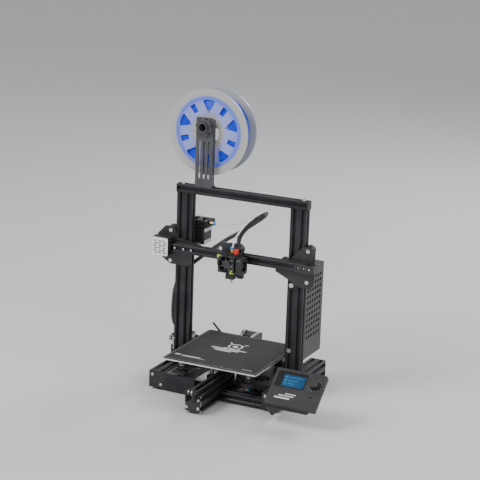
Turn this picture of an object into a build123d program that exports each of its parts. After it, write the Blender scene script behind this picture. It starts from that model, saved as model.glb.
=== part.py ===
from build123d import *
import math
import os

# Desktop filament printer with an open extrusion frame: a bed that slides front to back,
# a gantry that climbs two uprights, a print head that slides along the gantry, and a spool on top.
# Working frame (mm): X to the right, Y to the back, Z up, y = 0 in the mid plane of the uprights.
# Everything is shifted by ORIGIN_X, ORIGIN_Y when it is written out, so that the origin is the
# middle of the overall footprint at floor level.

os.makedirs("parts", exist_ok=True)

ORIGIN_X = 37.5
ORIGIN_Y = -31.0
LOOSE_LINES = ("filament_tube", "head_cable", "gantry_cable")
extents = []

# frame
HALF_WIDTH = 164.0
FOOT_H = 5.0
BASE_Z = 5.0
BASE_TOP = 45.0
UPRIGHT_LEN = 400.0
TOP_BEAM_Z = BASE_TOP + UPRIGHT_LEN
SIDE_Y0 = -124.5
SIDE_Y1 = 145.0
RAIL_Y0 = -222.0
RAIL_Y1 = 138.0
CROSS_Y = (-105.0, 90.0)

# gantry, at its drawn height
GANTRY_Z = 317.0
BEAM_Y = -24.5
BEAM_X0 = -163.0
BEAM_X1 = 177.0
PLATE_Y0 = -14.5
PLATE_Y1 = -11.5
WHEEL_R = 12.0
WHEEL_OFFSET = 10.2
Z_WHEEL_X = HALF_WIDTH + WHEEL_OFFSET
Z_WHEEL_IN = HALF_WIDTH - 40.0 - WHEEL_OFFSET
Z_WHEEL_RISE = 36.5
MOTOR_SIDE = 42.3
X_MOTOR_X = -187.5
X_IDLER_X = 187.0
BELT_R_IN = 6.0
BELT_R_OUT = 7.4
SCREW_X = -160.0
SCREW_Y = 34.4

# print head, at its drawn place on the beam
HEAD_X = 2.0
HEAD_Y = -58.0
CARRIAGE_WHEELS = ((-31.0, 20.2), (9.0, 20.2), (-11.0, -20.2))
SINK_X = 6.0
NOZZLE_TIP_Z = 263.0

# bed, at its drawn place
BED_Y = -32.0
BED_SIDE = 235.0
BED_TOP = 91.0
BED_PLATE_Z0 = 86.0
CARRIAGE_Z0 = 61.0
CARRIAGE_Z1 = 64.0
CORNER = 85.0
Y_WHEEL_Z = 35.0
Y_WHEEL_X = 20.0 + WHEEL_OFFSET
Y_WHEEL_Y = 38.0
Y_AXIS_Z = 52.8
Y_MOTOR_Y = 160.0
Y_IDLER_Y = -233.0

# spool and its holder
SPOOL_X = -97.0
TUBE_Z = 606.0
TUBE_R = 12.0
SPOOL_Y0 = 8.0
SPOOL_Y1 = 58.0
SPOOL_R = 100.0
SPOOL_BORE = 28.0
SPOOL_Z = TUBE_Z - (SPOOL_BORE - TUBE_R - 0.4)

# cable ends
GLAND_X = -110.0
GLAND_Y = 84.0
GLAND_TOP = 31.0
CLIP_X = 16.0
CLIP_Y = -47.5
CLIP_TOP = 353.0

# power supply and display
PSU_X0 = 126.0
PSU_X1 = 156.0
PSU_Y1 = 127.0
PSU_Z0 = 80.0
PSU_Z1 = 295.0
DISPLAY_X = 224.5
DISPLAY_Y = -169.0
DISPLAY_Z = 84.5
DISPLAY_W = 120.0
DISPLAY_H = 91.5
DISPLAY_TILT = 40.1


# ---------------------------------------------------------------- helpers
def block(x0, x1, y0, y1, z0, z1):
    """A box between two corners."""
    body = Box(x1 - x0, y1 - y0, z1 - z0)
    return Pos((x0 + x1) / 2, (y0 + y1) / 2, (z0 + z1) / 2) * body


def rod(axis, start, radius, length):
    """A cylinder that starts at a point and runs along +X, +Y or +Z."""
    body = Cylinder(radius, length, align=(Align.CENTER, Align.CENTER, Align.MIN))
    turn = {"x": Rot(0, 90, 0), "y": Rot(-90, 0, 0), "z": Rot(0, 0, 0)}[axis]
    return Pos(*start) * turn * body


def plate_xz(points, y_back, thickness, corner=0.0):
    """A flat plate drawn in X and Z whose rear face is at y_back."""
    face = Polygon(*points, align=None)
    if corner:
        face = fillet(face.vertices(), corner)
    return extrude(Plane.XZ.offset(-y_back) * face, thickness, dir=(0, -1, 0))


def plate_yz(points, x_left, thickness, corner=0.0):
    """A flat plate drawn in Y and Z whose left face is at x_left."""
    face = Polygon(*points, align=None)
    if corner:
        face = fillet(face.vertices(), corner)
    return extrude(Plane.YZ.offset(x_left) * face, thickness, dir=(1, 0, 0))


def plate_xy(points, z_low, thickness, corner=0.0):
    """A flat plate drawn in X and Y whose lower face is at z_low."""
    face = Polygon(*points, align=None)
    if corner:
        face = fillet(face.vertices(), corner)
    return extrude(Plane.XY.offset(z_low) * face, thickness, dir=(0, 0, 1))


def group(items):
    """Separate solids that are kept as one named part."""
    solids = []
    for item in items:
        solids.extend(item.solids())
    return Compound(solids)


def save(shape, name):
    """Write one part about the common origin, and note its extent unless it is a loose line."""
    placed = Pos(-ORIGIN_X, -ORIGIN_Y, 0) * shape
    export_step(placed, f"parts/{name}.step")
    if name not in LOOSE_LINES:
        extents.append(placed.bounding_box())


# ---------------------------------------------------------------- standard items
def slot_section():
    """The V slot of the extrusion, open at y = 0 and cut downwards."""
    return Polygon((-4.8, 0.01), (-3.2, -1.6), (-3.2, -2.2), (-5.0, -2.2), (-5.0, -4.0), (-2.9, -6.2),
                   (2.9, -6.2), (5.0, -4.0), (5.0, -2.2), (3.2, -2.2), (3.2, -1.6), (4.8, 0.01),
                   align=None)


def extrusion(columns, rows, length):
    """A 20 mm pitch V slot extrusion that runs along +Z, centred in X and Y."""
    width = 20.0 * columns
    height = 20.0 * rows
    face = RectangleRounded(width, height, 1.5)
    xs = [20.0 * i - width / 2 + 10.0 for i in range(columns)]
    ys = [20.0 * i - height / 2 + 10.0 for i in range(rows)]
    for x in xs:
        face -= Pos(x, height / 2) * slot_section()
        face -= Pos(x, -height / 2) * Rot(0, 0, 180) * slot_section()
        for y in ys:
            face -= Pos(x, y) * Circle(2.15)
    for y in ys:
        face -= Pos(width / 2, y) * Rot(0, 0, -90) * slot_section()
        face -= Pos(-width / 2, y) * Rot(0, 0, 90) * slot_section()
    if columns == 2 and rows == 2:
        face -= RectangleRounded(9.0, 9.0, 1.0)
    return extrude(face, length)


def extrusion_x(columns, rows, x0, y, z, length):
    return Pos(x0, y, z) * Rot(0, 90, 0) * extrusion(columns, rows, length)


def extrusion_y(columns, rows, x, y0, z, length):
    return Pos(x, y0, z) * Rot(-90, 0, 0) * extrusion(columns, rows, length)


def v_wheel():
    """Guide wheel about Z, centred: tapered tyre, shallow bearing recess and bore."""
    half = [(2.7, 2.6), (5.5, 2.6), (5.5, 5.1), (9.4, 5.1), (12.0, 2.5)]
    points = half + [(r, -z) for r, z in reversed(half)]
    section = Plane.XZ * Polygon(*points, align=None)
    return revolve(section, Axis.Z)


def screw(length, radius=2.5, head_radius=4.2, head=2.6):
    """Button head screw about Z: head above z = 0, shank below, hexagon recess in the head."""
    body = Pos(0, 0, head / 2) * Cylinder(head_radius, head)
    body = fillet(body.edges().filter_by(GeomType.CIRCLE).sort_by(Axis.Z)[-1], head * 0.55)
    if length > 0:
        body += Pos(0, 0, -length / 2) * Cylinder(radius, length)
    body -= Pos(0, 0, head - 0.7) * extrude(RegularPolygon(radius * 0.62, 6), 2.0)
    return body


def front_screw(x, y, z, length, radius=2.5, head_radius=4.2, head=2.6):
    """A screw whose head faces the front and sits on a face at y."""
    return Pos(x, y, z) * Rot(90, 0, 0) * screw(length, radius, head_radius, head)


def motor(depth):
    """NEMA 17 motor about Z with its mounting face at z = 0 and its body below."""
    side = MOTOR_SIDE
    cap = extrude(RectangleRounded(side, side, 3.5), -9.0)
    stack = chamfer(Rectangle(side - 0.6, side - 0.6).vertices(), 3.2)
    core = Pos(0, 0, -9.0) * extrude(stack, -(depth - 18.0))
    tail = Pos(0, 0, -(depth - 9.0)) * extrude(RectangleRounded(side, side, 3.5), -9.0)
    body = cap + core + tail + Pos(0, 0, 1.0) * Cylinder(11.0, 2.0)
    body += Pos(0, side / 2 + 2.4, -depth + 5.0) * Box(16.0, 6.0, 9.0)
    body -= Pos(0, 0, -5.0) * Cylinder(3.0, 16.0)
    for x in (-15.5, 15.5):
        for y in (-15.5, 15.5):
            body -= Pos(x, y, -2.0) * Cylinder(1.5, 4.1)
    return body


def pulley(width, flange_radius=7.5):
    """Belt pulley about Z, centred, with twenty teeth between two flanges."""
    body = Cylinder(5.6, width)
    for k in range(20):
        angle = math.radians(18.0 * k)
        body -= Pos(5.7 * math.cos(angle), 5.7 * math.sin(angle), 0) * Cylinder(0.45, width + 1)
    body += Pos(0, 0, width / 2 + 0.5) * Cylinder(flange_radius, 1.0)
    body += Pos(0, 0, -width / 2 - 0.5) * Cylinder(flange_radius, 1.0)
    return body


def belt_section(half_length):
    """Closed belt loop: a ring with two straight runs along X, centred."""
    outer = RectangleRounded(2 * (half_length + BELT_R_OUT), 2 * BELT_R_OUT, BELT_R_OUT - 0.001)
    inner = RectangleRounded(2 * (half_length + BELT_R_IN), 2 * BELT_R_IN, BELT_R_IN - 0.001)
    return outer - inner


# ---------------------------------------------------------------- base and frame
def make_base():
    feet = []
    for x in (-HALF_WIDTH + 20, HALF_WIDTH - 20):
        for y in (SIDE_Y0 + 14, SIDE_Y1 - 14):
            foot = rod("z", (x, y, 0), 11.0, FOOT_H)
            feet.append(fillet(foot.edges().sort_by(Axis.Z)[0], 1.0))
    save(group(feet), "feet")

    side_z = (BASE_Z + BASE_TOP) / 2
    length = SIDE_Y1 - SIDE_Y0
    left = extrusion_y(2, 2, -HALF_WIDTH + 20, SIDE_Y0, side_z, length)
    right = extrusion_y(2, 2, HALF_WIDTH - 20, SIDE_Y0, side_z, length)
    save(group([left, right]), "base_side_rails")

    # cross bars are half as tall as the rail, so that the bed's wheels pass above them
    bars = []
    span = HALF_WIDTH - 40 - 20
    for y in CROSS_Y:
        bars.append(extrusion_x(1, 2, -HALF_WIDTH + 40, y, BASE_Z + 10, span))
        bars.append(extrusion_x(1, 2, 20, y, BASE_Z + 10, span))
    fascia_y = CROSS_Y[0] - 20
    bars.append(block(-HALF_WIDTH + 40, -46, fascia_y - 2.5, fascia_y, BASE_Z, BASE_TOP - 1))
    save(group(bars), "base_cross_bars")

    rail = extrusion_y(2, 2, 0, RAIL_Y0, side_z, RAIL_Y1 - RAIL_Y0)
    save(rail, "bed_rail")

    caps = []
    for x in (-HALF_WIDTH + 20, HALF_WIDTH - 20):
        for y0 in (SIDE_Y0 - 2.5, SIDE_Y1):
            cap = extrude(RectangleRounded(40, 40, 2.0), 2.5)
            caps.append(Pos(x, y0, side_z) * Rot(-90, 0, 0) * cap)
    for x0 in (-HALF_WIDTH - 2.0, HALF_WIDTH):
        cap = extrude(RectangleRounded(20, 20, 2.0), 2.0)
        caps.append(Pos(x0, 0, TOP_BEAM_Z + 10) * Rot(0, 90, 0) * cap)
    # gland on the left rear cross bar, where the gantry's cable goes into the base
    gland = rod("z", (GLAND_X, GLAND_Y, BASE_Z + 20), 8.0, 3.0)
    gland += rod("z", (GLAND_X, GLAND_Y, BASE_Z + 20), 7.2, GLAND_TOP - BASE_Z - 17)
    gland -= rod("z", (GLAND_X, GLAND_Y, GLAND_TOP - 1.3), 5.9, 8)
    caps.append(gland)
    save(group(caps), "end_caps")


def make_portal():
    left = Pos(-HALF_WIDTH + 20, 0, BASE_TOP) * extrusion(2, 1, UPRIGHT_LEN)
    right = Pos(HALF_WIDTH - 20, 0, BASE_TOP) * extrusion(2, 1, UPRIGHT_LEN)
    save(group([left, right]), "uprights")
    beam = extrusion_x(1, 1, -HALF_WIDTH, 0, TOP_BEAM_Z + 10, 2 * HALF_WIDTH)
    save(beam, "top_beam")


def make_frame_screws():
    """Screws with visible heads: cap screws, frame joints and the power supply's fixings."""
    items = []
    for x in (-HALF_WIDTH + 20, HALF_WIDTH - 20):
        for dx, dz in ((-11, 11), (11, -11)):
            items.append(front_screw(x + dx, SIDE_Y0 - 2.5, 25 + dz, 0, 2.0, 3.6, 2.2))
    for z in (110.0, 266.0):
        items.append(front_screw(HALF_WIDTH - 30, -10.0, z, 0, 2.5, 5.6, 1.3))
    for x in (-14.2, 14.2):
        for z in (15.0, 35.0):
            items.append(front_screw(x, RAIL_Y0 - 3.0, z, 0, 2.0, 3.6, 2.2))
    for x in (-HALF_WIDTH + 12, HALF_WIDTH - 12):
        items.append(Pos(x, 0, TOP_BEAM_Z + 20) * screw(0, 2.5, 5.6))
    for x in (SPOOL_X - 14, SPOOL_X + 14):
        items.append(Pos(x, 0.0, TOP_BEAM_Z + 23) * screw(0))
    save(group(items), "frame_screws")


def make_motor_brackets():
    """Sheet brackets of the lead screw motor, the bed motor and the bed belt's front roller."""
    leg = block(SCREW_X - 21, SCREW_X + 21, 10, 13, BASE_TOP, 91)
    shelf = block(SCREW_X - 21, SCREW_X + 21, 13, 55.9, 88, 91)
    lead = leg + shelf - rod("z", (SCREW_X, SCREW_Y, 80), 11.3, 20)
    for x in (-15.5, 15.5):
        for y in (-15.5, 15.5):
            lead -= rod("z", (SCREW_X + x, SCREW_Y + y, 80), 1.7, 20)

    wall = plate_yz([(112, 8), (112, 44), (138.5, 74), (181, 74), (181, 31), (150, 8)], -23, 3, 2.0)
    wall -= rod("x", (-30, Y_MOTOR_Y, Y_AXIS_Z), 11.3, 20)
    for y in (-15.5, 15.5):
        for z in (-15.5, 15.5):
            wall -= rod("x", (-30, Y_MOTOR_Y + y, Y_AXIS_Z + z), 1.7, 20)

    plate = block(-18, 18, RAIL_Y0 - 3, RAIL_Y0, 6, 44.5)
    cheeks = block(-10, -7, -243, RAIL_Y0 - 3, 32, 59.5) + block(7, 10, -243, RAIL_Y0 - 3, 32, 59.5)
    lip = block(-7, 7, -228, RAIL_Y0 - 3, 32, 40)
    front = plate + cheeks + lip - rod("x", (-15, Y_IDLER_Y, Y_AXIS_Z), 2.4, 30)
    save(group([lead, wall, front]), "motor_brackets")


def make_height_switch():
    """Switch on the left upright that the gantry stops above, with its lead's connector."""
    x = -HALF_WIDTH
    plate = block(x - 1.5, x, -9, 9, 62, 92)
    body = block(x - 14, x - 1.5, -6, 2, 72, 90)
    button = block(x - 9, x - 6, -3.5, -0.5, 90, 91.5)
    lever = block(x - 14, x - 2.5, -4, 0, 91.5, 92.3)
    plug = block(x - 13, x - 3, -10, -6, 73, 82)
    bolts = front_screw(x - 11.5, -6, 87, 0, 1.2, 1.9, 1.2) + front_screw(x - 4, -6, 87, 0, 1.2, 1.9, 1.2)
    save(plate + body + button + lever + plug + bolts, "height_switch")


def make_frame_motors():
    save(Pos(SCREW_X, SCREW_Y, 88) * Rot(0, 0, 90) * motor(40.0), "lead_screw_motor")
    body = Pos(-23, Y_MOTOR_Y, Y_AXIS_Z) * Rot(0, 90, 0) * Rot(0, 0, 90) * motor(40.0)
    save(body, "bed_motor")


def make_lead_screw():
    """Screw, its coupling and the motor's shaft: they turn as one."""
    shaft = rod("z", (SCREW_X, SCREW_Y, 78), 2.5, 27)
    coupling = rod("z", (SCREW_X, SCREW_Y, 94), 9.5, 25)
    for z in (99.0, 114.0):
        coupling -= Pos(SCREW_X + 6, SCREW_Y, z) * Rot(-90, 0, 0) * Cylinder(1.5, 30)
    coupling -= rod("z", (SCREW_X, SCREW_Y, 93), 2.5, 12)
    coupling -= rod("z", (SCREW_X, SCREW_Y, 105), 4.0, 20)
    thread = rod("z", (SCREW_X, SCREW_Y, 105), 4.0, 333)
    save(group([shaft, coupling, thread]), "lead_screw")


def make_bed_drive():
    shaft = rod("x", (-33, Y_MOTOR_Y, Y_AXIS_Z), 2.5, 39)
    wheel = Pos(0, Y_MOTOR_Y, Y_AXIS_Z) * Rot(0, 90, 0) * pulley(7.0)
    hub = rod("x", (-11, Y_MOTOR_Y, Y_AXIS_Z), 6.5, 6.5)
    save(shaft + wheel + hub, "bed_drive_pulley")

    axle = rod("x", (-12, Y_IDLER_Y, Y_AXIS_Z), 2.0, 24)
    roller = Pos(0, Y_IDLER_Y, Y_AXIS_Z) * Rot(0, 90, 0) * pulley(7.0)
    save(axle + roller, "bed_idler_roller")

    middle = (Y_MOTOR_Y + Y_IDLER_Y) / 2
    half = (Y_MOTOR_Y - Y_IDLER_Y) / 2
    loop = extrude(Rot(0, 0, 90) * belt_section(half), 3.0, both=True)
    save(Pos(0, middle, Y_AXIS_Z) * Rot(0, 90, 0) * loop, "bed_belt")


def make_power_supply():
    housing = block(PSU_X0, PSU_X1, 10.0, PSU_Y1, PSU_Z0, PSU_Z1)
    housing = fillet(housing.edges().filter_by(Axis.Z), 1.5)
    housing -= block(PSU_X0 + 1.5, PSU_X1 - 1.5, 11.5, PSU_Y1 - 1.5, PSU_Z0 + 1.5, PSU_Z1 - 1.5)
    # ventilation holes in the side face and openings for the inlet and the switch
    for i in range(7):
        for j in range(11):
            y = 25 + 14 * i
            z = 130 + 14 * j
            housing -= rod("x", (PSU_X1 - 3, y, z), 4.0, 6)
    cx = (PSU_X0 + PSU_X1) / 2
    housing -= block(cx - 10, cx + 10, PSU_Y1 - 3, PSU_Y1 + 1, 88, 115)
    housing -= block(cx - 7, cx + 7, PSU_Y1 - 3, PSU_Y1 + 1, 122, 142)
    inlet = block(cx - 10, cx + 10, PSU_Y1 - 18, PSU_Y1, 88, 115)
    inlet += block(cx - 12, cx + 12, PSU_Y1, PSU_Y1 + 2, 86, 117)
    inlet -= block(cx - 8, cx + 8, PSU_Y1 - 14, PSU_Y1 + 3, 91, 112)
    for dx, dz in ((0, 4.5), (-4.5, -3), (4.5, -3)):
        inlet += block(cx + dx - 1, cx + dx + 1, PSU_Y1 - 15, PSU_Y1 - 3, 101 + dz - 2, 101 + dz + 2)
    board = block(PSU_X0 + 4, PSU_X0 + 5.6, 16, PSU_Y1 - 22, PSU_Z0 + 45, PSU_Z1 - 8)
    board += block(PSU_X0 + 1.5, PSU_X0 + 4, 20, 26, PSU_Z0 + 50, PSU_Z0 + 56)
    board += block(PSU_X0 + 5.6, PSU_X0 + 22, 40, 75, PSU_Z0 + 70, PSU_Z0 + 110)

    # bezel round the switch: a sleeve through the wall with a lip outside it
    frame = block(cx - 7, cx + 7, PSU_Y1 - 10, PSU_Y1, 122, 142)
    frame += block(cx - 8.5, cx + 8.5, PSU_Y1, PSU_Y1 + 1.2, 120.5, 143.5)
    frame -= block(cx - 5.4, cx + 5.4, PSU_Y1 - 11, PSU_Y1 + 2, 123.2, 140.8)
    save(group([housing, inlet, board, frame]), "power_supply")

    rocker = Pos(0, PSU_Y1 - 3.0, 132) * Rot(0, 90, 0) * Cylinder(8.0, 10.0)
    rocker = rocker - block(-6, 6, PSU_Y1 + 3.2, PSU_Y1 + 8, 120, 144)
    rocker = rocker - block(-6, 6, PSU_Y1 - 14, PSU_Y1 - 5.0, 120, 144)
    save(Pos(cx, 0, 0) * rocker, "switch_rocker")


def make_control_box():
    x0, x1, y0, y1, z0, z1 = 46.0, 120.0, -83.0, 60.0, 8.0, 42.0
    tray = block(x0, x1, y0, y1, z0, z1) - block(x0 + 1.5, x1 - 1.5, y0 + 1.5, y1 - 1.5, z0 + 1.5, z1 + 1)
    for i in range(4):
        tray -= block(x0 + 6 + 16 * i, x0 + 16 + 16 * i, y0 - 1, y0 + 2, 20, 30)
    for x in (56, 110):
        for y in (-60, 36):
            tray += rod("z", (x, y, z0 + 1.5), 3.0, 8.5)
    save(tray, "control_box_tray")

    lid = block(x0, x1, y0, y1, z1, z1 + 1.5)
    lid -= rod("z", (84, -42, z1 - 1), 18.0, 4)
    spokes = block(83, 85, -61, -23, z1, z1 + 1.5) + block(65, 103, -43, -41, z1, z1 + 1.5)
    rings = rod("z", (84, -42, z1), 12.0, 1.5) - rod("z", (84, -42, z1 - 1), 10.4, 4)
    lid = lid + spokes + rings
    save(lid, "control_box_lid")

    board = block(51, 115, -66, 42, 18, 19.6)
    board += block(54, 74, 20, 38, 19.6, 30)
    board += block(80, 112, 26, 38, 19.6, 30)
    for i in range(4):
        board += block(53 + 16 * i, 63 + 16 * i, -20, -8, 19.6, 28)
    board += block(54, 74, -66, -58, 19.6, 27)
    board += block(84, 106, -66, -54, 19.6, 26)
    save(board, "main_board")


def make_display():
    tilt = Plane(origin=(DISPLAY_X, DISPLAY_Y, DISPLAY_Z), x_dir=(1, 0, 0),
                 z_dir=(0, -math.sin(math.radians(DISPLAY_TILT)), math.cos(math.radians(DISPLAY_TILT))))
    shell = extrude(RectangleRounded(DISPLAY_W, DISPLAY_H, 3.0), -12.0)
    shell -= Pos(0, 0, -2.2) * extrude(Rectangle(DISPLAY_W - 4, DISPLAY_H - 4), -8.0)
    shell -= Pos(-18, 19, 1) * extrude(Rectangle(70, 40), -5.0)
    shell -= Pos(40, 16, 1) * extrude(Circle(3.6), -5.0)
    shell -= Pos(40, -14, 1) * extrude(Circle(2.0), -5.0)
    arm = plate_yz([(-84, 8), (-84, 42), (-136, 92), (-146, 92), (-196, 48.5), (-196, 40), (-160, 8)],
                   HALF_WIDTH, 3.0, 3.0)
    arm += block(HALF_WIDTH + 3, HALF_WIDTH + 100, -196, -160, 40, 43)
    save(group([tilt.location * shell, arm]), "display_housing")

    glass = extrude(Rectangle(69.4, 39.4), -3.0)
    glass = Pos(-18, 19, -0.6) * glass
    board = Pos(-18, 16, -4.0) * extrude(Rectangle(78, 52), -3.0)
    save(tilt.location * (glass + board), "display_screen")

    stem = Pos(40, 16, -6.0) * extrude(Circle(3.0), 12.0)
    stem += Pos(40, 16, -8.6) * extrude(Circle(5.0), 2.6)
    save(tilt.location * stem, "encoder_stem")

    knob = Pos(40, 16, 1.7) * extrude(Circle(10.5), 11.0)
    rim = knob.edges().filter_by(GeomType.CIRCLE).sort_by(Axis.Z)[-1]
    knob = fillet(rim, 1.2)
    knob -= Pos(40, 16, 1.7) * extrude(Circle(3.4), 5.0)
    for k in range(18):
        a = math.radians(20.0 * k)
        knob -= Pos(40 + 10.9 * math.cos(a), 16 + 10.9 * math.sin(a), 1.0) * extrude(Circle(0.9), 9.5)
    save(tilt.location * knob, "display_knob")


def make_spool_holder():
    x0 = SPOOL_X - 21.5
    x1 = SPOOL_X + 21.5
    z0 = TOP_BEAM_Z + 20
    z1 = 627.0
    web = block(x0, x1, -10, -7, z0, z1)
    web = fillet(web.edges().filter_by(Axis.Y).sort_by(Axis.Z)[-2:], 3.0)
    for dx in (-11.5, 0.0, 11.5):
        slot = extrude(SlotOverall(88, 4.8, rotation=90), 6, both=True)
        web -= Pos(SPOOL_X + dx, -8.5, 528) * Rot(90, 0, 0) * slot
    sides = block(x0, x0 + 2.5, -7, 3, z0, z1 - 4) + block(x1 - 2.5, x1, -7, 3, z0, z1 - 4)
    foot = block(x0, x1, -7, 10, z0, z0 + 3)
    web -= rod("y", (SPOOL_X, -12, TUBE_Z), TUBE_R, 10)
    save(web + sides + foot, "spool_bracket")

    tube = rod("y", (SPOOL_X, -7.0, TUBE_Z), TUBE_R, 75.0)
    tube += rod("y", (SPOOL_X, -23.0, TUBE_Z), TUBE_R - 0.2, 17.0)
    tube += rod("y", (SPOOL_X, -16.5, TUBE_Z), 20.5, 6.4)
    tube += rod("y", (SPOOL_X, -7.0, TUBE_Z), 17.0, 5.0)
    tube += rod("y", (SPOOL_X, 63.0, TUBE_Z), 17.0, 5.0)
    tube -= rod("y", (SPOOL_X, -24.0, TUBE_Z), 9.0, 96.0)
    for k in range(6):
        a = math.radians(60.0 * k + 12)
        tube -= rod("y", (SPOOL_X + 21.5 * math.cos(a), -17.0, TUBE_Z + 21.5 * math.sin(a)), 4.0, 7.0)
    save(tube, "spool_tube")


def window_cutters():
    """Five wedge windows and five four-sided windows, alternating round the flange."""
    wedge = Polygon((0, 43), (-15.5, 71), (-8, 74.5), (8, 74.5), (15.5, 71), align=None)
    wedge = fillet(wedge.vertices(), 2.2)
    square = Polygon((-5.6, 52), (-7.0, 72.5), (7.0, 72.5), (5.6, 52), align=None)
    square = fillet(square.vertices(), 1.6)
    faces = []
    for k in range(5):
        faces.append(Rot(0, 0, 72.0 * k) * wedge)
        faces.append(Rot(0, 0, 72.0 * k + 36.0) * square)
    return faces


def make_spool():
    flange = Circle(SPOOL_R) - Circle(SPOOL_BORE)
    for window in window_cutters():
        flange -= window
    flange = extrude(flange, 2.6)
    rim = extrude(Circle(SPOOL_R) - Circle(SPOOL_R - 17.0), 3.8)
    hub_ring = extrude(Circle(40.0) - Circle(SPOOL_BORE), 4.2)
    side = flange + rim + hub_ring
    sleeve = extrude(Circle(31.0) - Circle(SPOOL_BORE), SPOOL_Y1 - SPOOL_Y0)
    width = SPOOL_Y1 - SPOOL_Y0
    body = side + Pos(0, 0, width) * Rot(0, 180, 0) * side + sleeve
    body += Pos(0, 0, 2.0) * extrude(Circle(50.0) - Circle(47.6), width - 4.0)
    place = Pos(SPOOL_X, SPOOL_Y1, SPOOL_Z) * Rot(90, 0, 0)
    save(place * body, "spool")

    coil = extrude(Circle(84.0) - Circle(50.2), width - 9.0)
    coil = fillet(coil.edges().filter_by(GeomType.CIRCLE).sort_by(lambda e: -e.length)[0:2], 2.0)
    save(place * (Pos(0, 0, 4.5) * coil), "filament")


# ---------------------------------------------------------------- bed
def make_bed():
    half = BED_SIDE / 2
    plate = block(-half, half, BED_Y - half, BED_Y + half, BED_PLATE_Z0, BED_PLATE_Z0 + 3.0)
    plate = fillet(plate.edges().filter_by(Axis.Z), 4.0)
    plate += block(-40, 40, BED_Y + half - 18, BED_Y + half - 4, BED_PLATE_Z0 - 3.0, BED_PLATE_Z0)
    save(plate, "heated_plate")

    mat = block(-half, half, BED_Y - half, BED_Y + half, BED_PLATE_Z0 + 3.0, BED_TOP)
    mat = fillet(mat.edges().filter_by(Axis.Z), 4.0)
    save(mat, "print_mat")

    core = block(-48, 48, BED_Y - 50, BED_Y + 50, CARRIAGE_Z0, CARRIAGE_Z1)
    core = fillet(core.edges().filter_by(Axis.Z), 5.0)
    core -= block(-22, 22, BED_Y - 26, BED_Y + 26, CARRIAGE_Z0 - 1, CARRIAGE_Z1 + 1)
    for sx in (-1, 1):
        for sy in (-1, 1):
            arm = plate_xy([(sx * 36, BED_Y + sy * 50), (sx * 48, BED_Y + sy * 38),
                            (sx * 94, BED_Y + sy * 80), (sx * 94, BED_Y + sy * 93),
                            (sx * 80, BED_Y + sy * 93)], CARRIAGE_Z0, 3.0)
            core += arm
            core -= rod("z", (sx * CORNER, BED_Y + sy * CORNER, CARRIAGE_Z0 - 1), 2.6, 6)
            core -= rod("z", (sx * Y_WHEEL_X, BED_Y + sy * Y_WHEEL_Y, CARRIAGE_Z0 - 1), 2.5, 6)
    clamps = []
    for y in (BED_Y - 34, BED_Y + 34):
        clamp = block(-9, 9, y - 6, y + 6, 56.6, CARRIAGE_Z0)
        clamps.append(clamp - block(-3.5, 3.5, y - 7, y + 7, 57.9, 60.4))
    save(group([core] + clamps), "bed_carriage")

    springs = []
    screws = []
    for sx in (-1, 1):
        for sy in (-1, 1):
            x = sx * CORNER
            y = BED_Y + sy * CORNER
            springs.append(Pos(x, y, 0) * coil_spring(5.2, 0.8, CARRIAGE_Z1 + 0.9, BED_PLATE_Z0 - 0.9, 5))
            screws.append(rod("z", (x, y, 50), 1.9, BED_PLATE_Z0 - 50))
    save(group(springs + screws), "bed_springs")

    for index, (sx, sy) in enumerate(((-1, -1), (1, -1), (-1, 1), (1, 1))):
        x = sx * CORNER
        y = BED_Y + sy * CORNER
        knob = rod("z", (x, y, 47.5), 15.0, 9.0) + rod("z", (x, y, 56.5), 6.0, 4.1)
        for k in range(12):
            a = math.radians(30.0 * k)
            knob -= rod("z", (x + 16.2 * math.cos(a), y + 16.2 * math.sin(a), 46), 3.0, 12)
        knob -= rod("z", (x, y, 46), 2.25, 16)
        save(knob, ("level_knob_front_left", "level_knob_front_right", "level_knob_rear_left",
                    "level_knob_rear_right")[index])

    wheels = []
    for sx in (-1, 1):
        for sy in (-1, 1):
            x = sx * Y_WHEEL_X
            y = BED_Y + sy * Y_WHEEL_Y
            wheels.append(Pos(x, y, Y_WHEEL_Z) * v_wheel())
            bolt = rod("z", (x, y, Y_WHEEL_Z - 5.4), 2.4, CARRIAGE_Z1 + 4.0 - Y_WHEEL_Z + 5.4)
            bolt += rod("z", (x, y, Y_WHEEL_Z - 8.4), 4.5, 3.0)
            bolt += rod("z", (x, y, Y_WHEEL_Z + 5.3), 4.5, CARRIAGE_Z0 - Y_WHEEL_Z - 5.3)
            bolt += rod("z", (x, y, CARRIAGE_Z1), 4.5, 4.0)
            wheels.append(bolt)
    save(group(wheels), "bed_wheels")


def coil_spring(radius, wire, z0, z1, turns):
    """A round wire compression spring about Z between two heights of its end turns."""
    height = z1 - z0
    path = Pos(0, 0, z0) * Helix(pitch=height / turns, height=height, radius=radius)
    start = path @ 0
    section = Plane(origin=start, z_dir=path % 0) * Circle(wire)
    return sweep(section, path=path)


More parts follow.
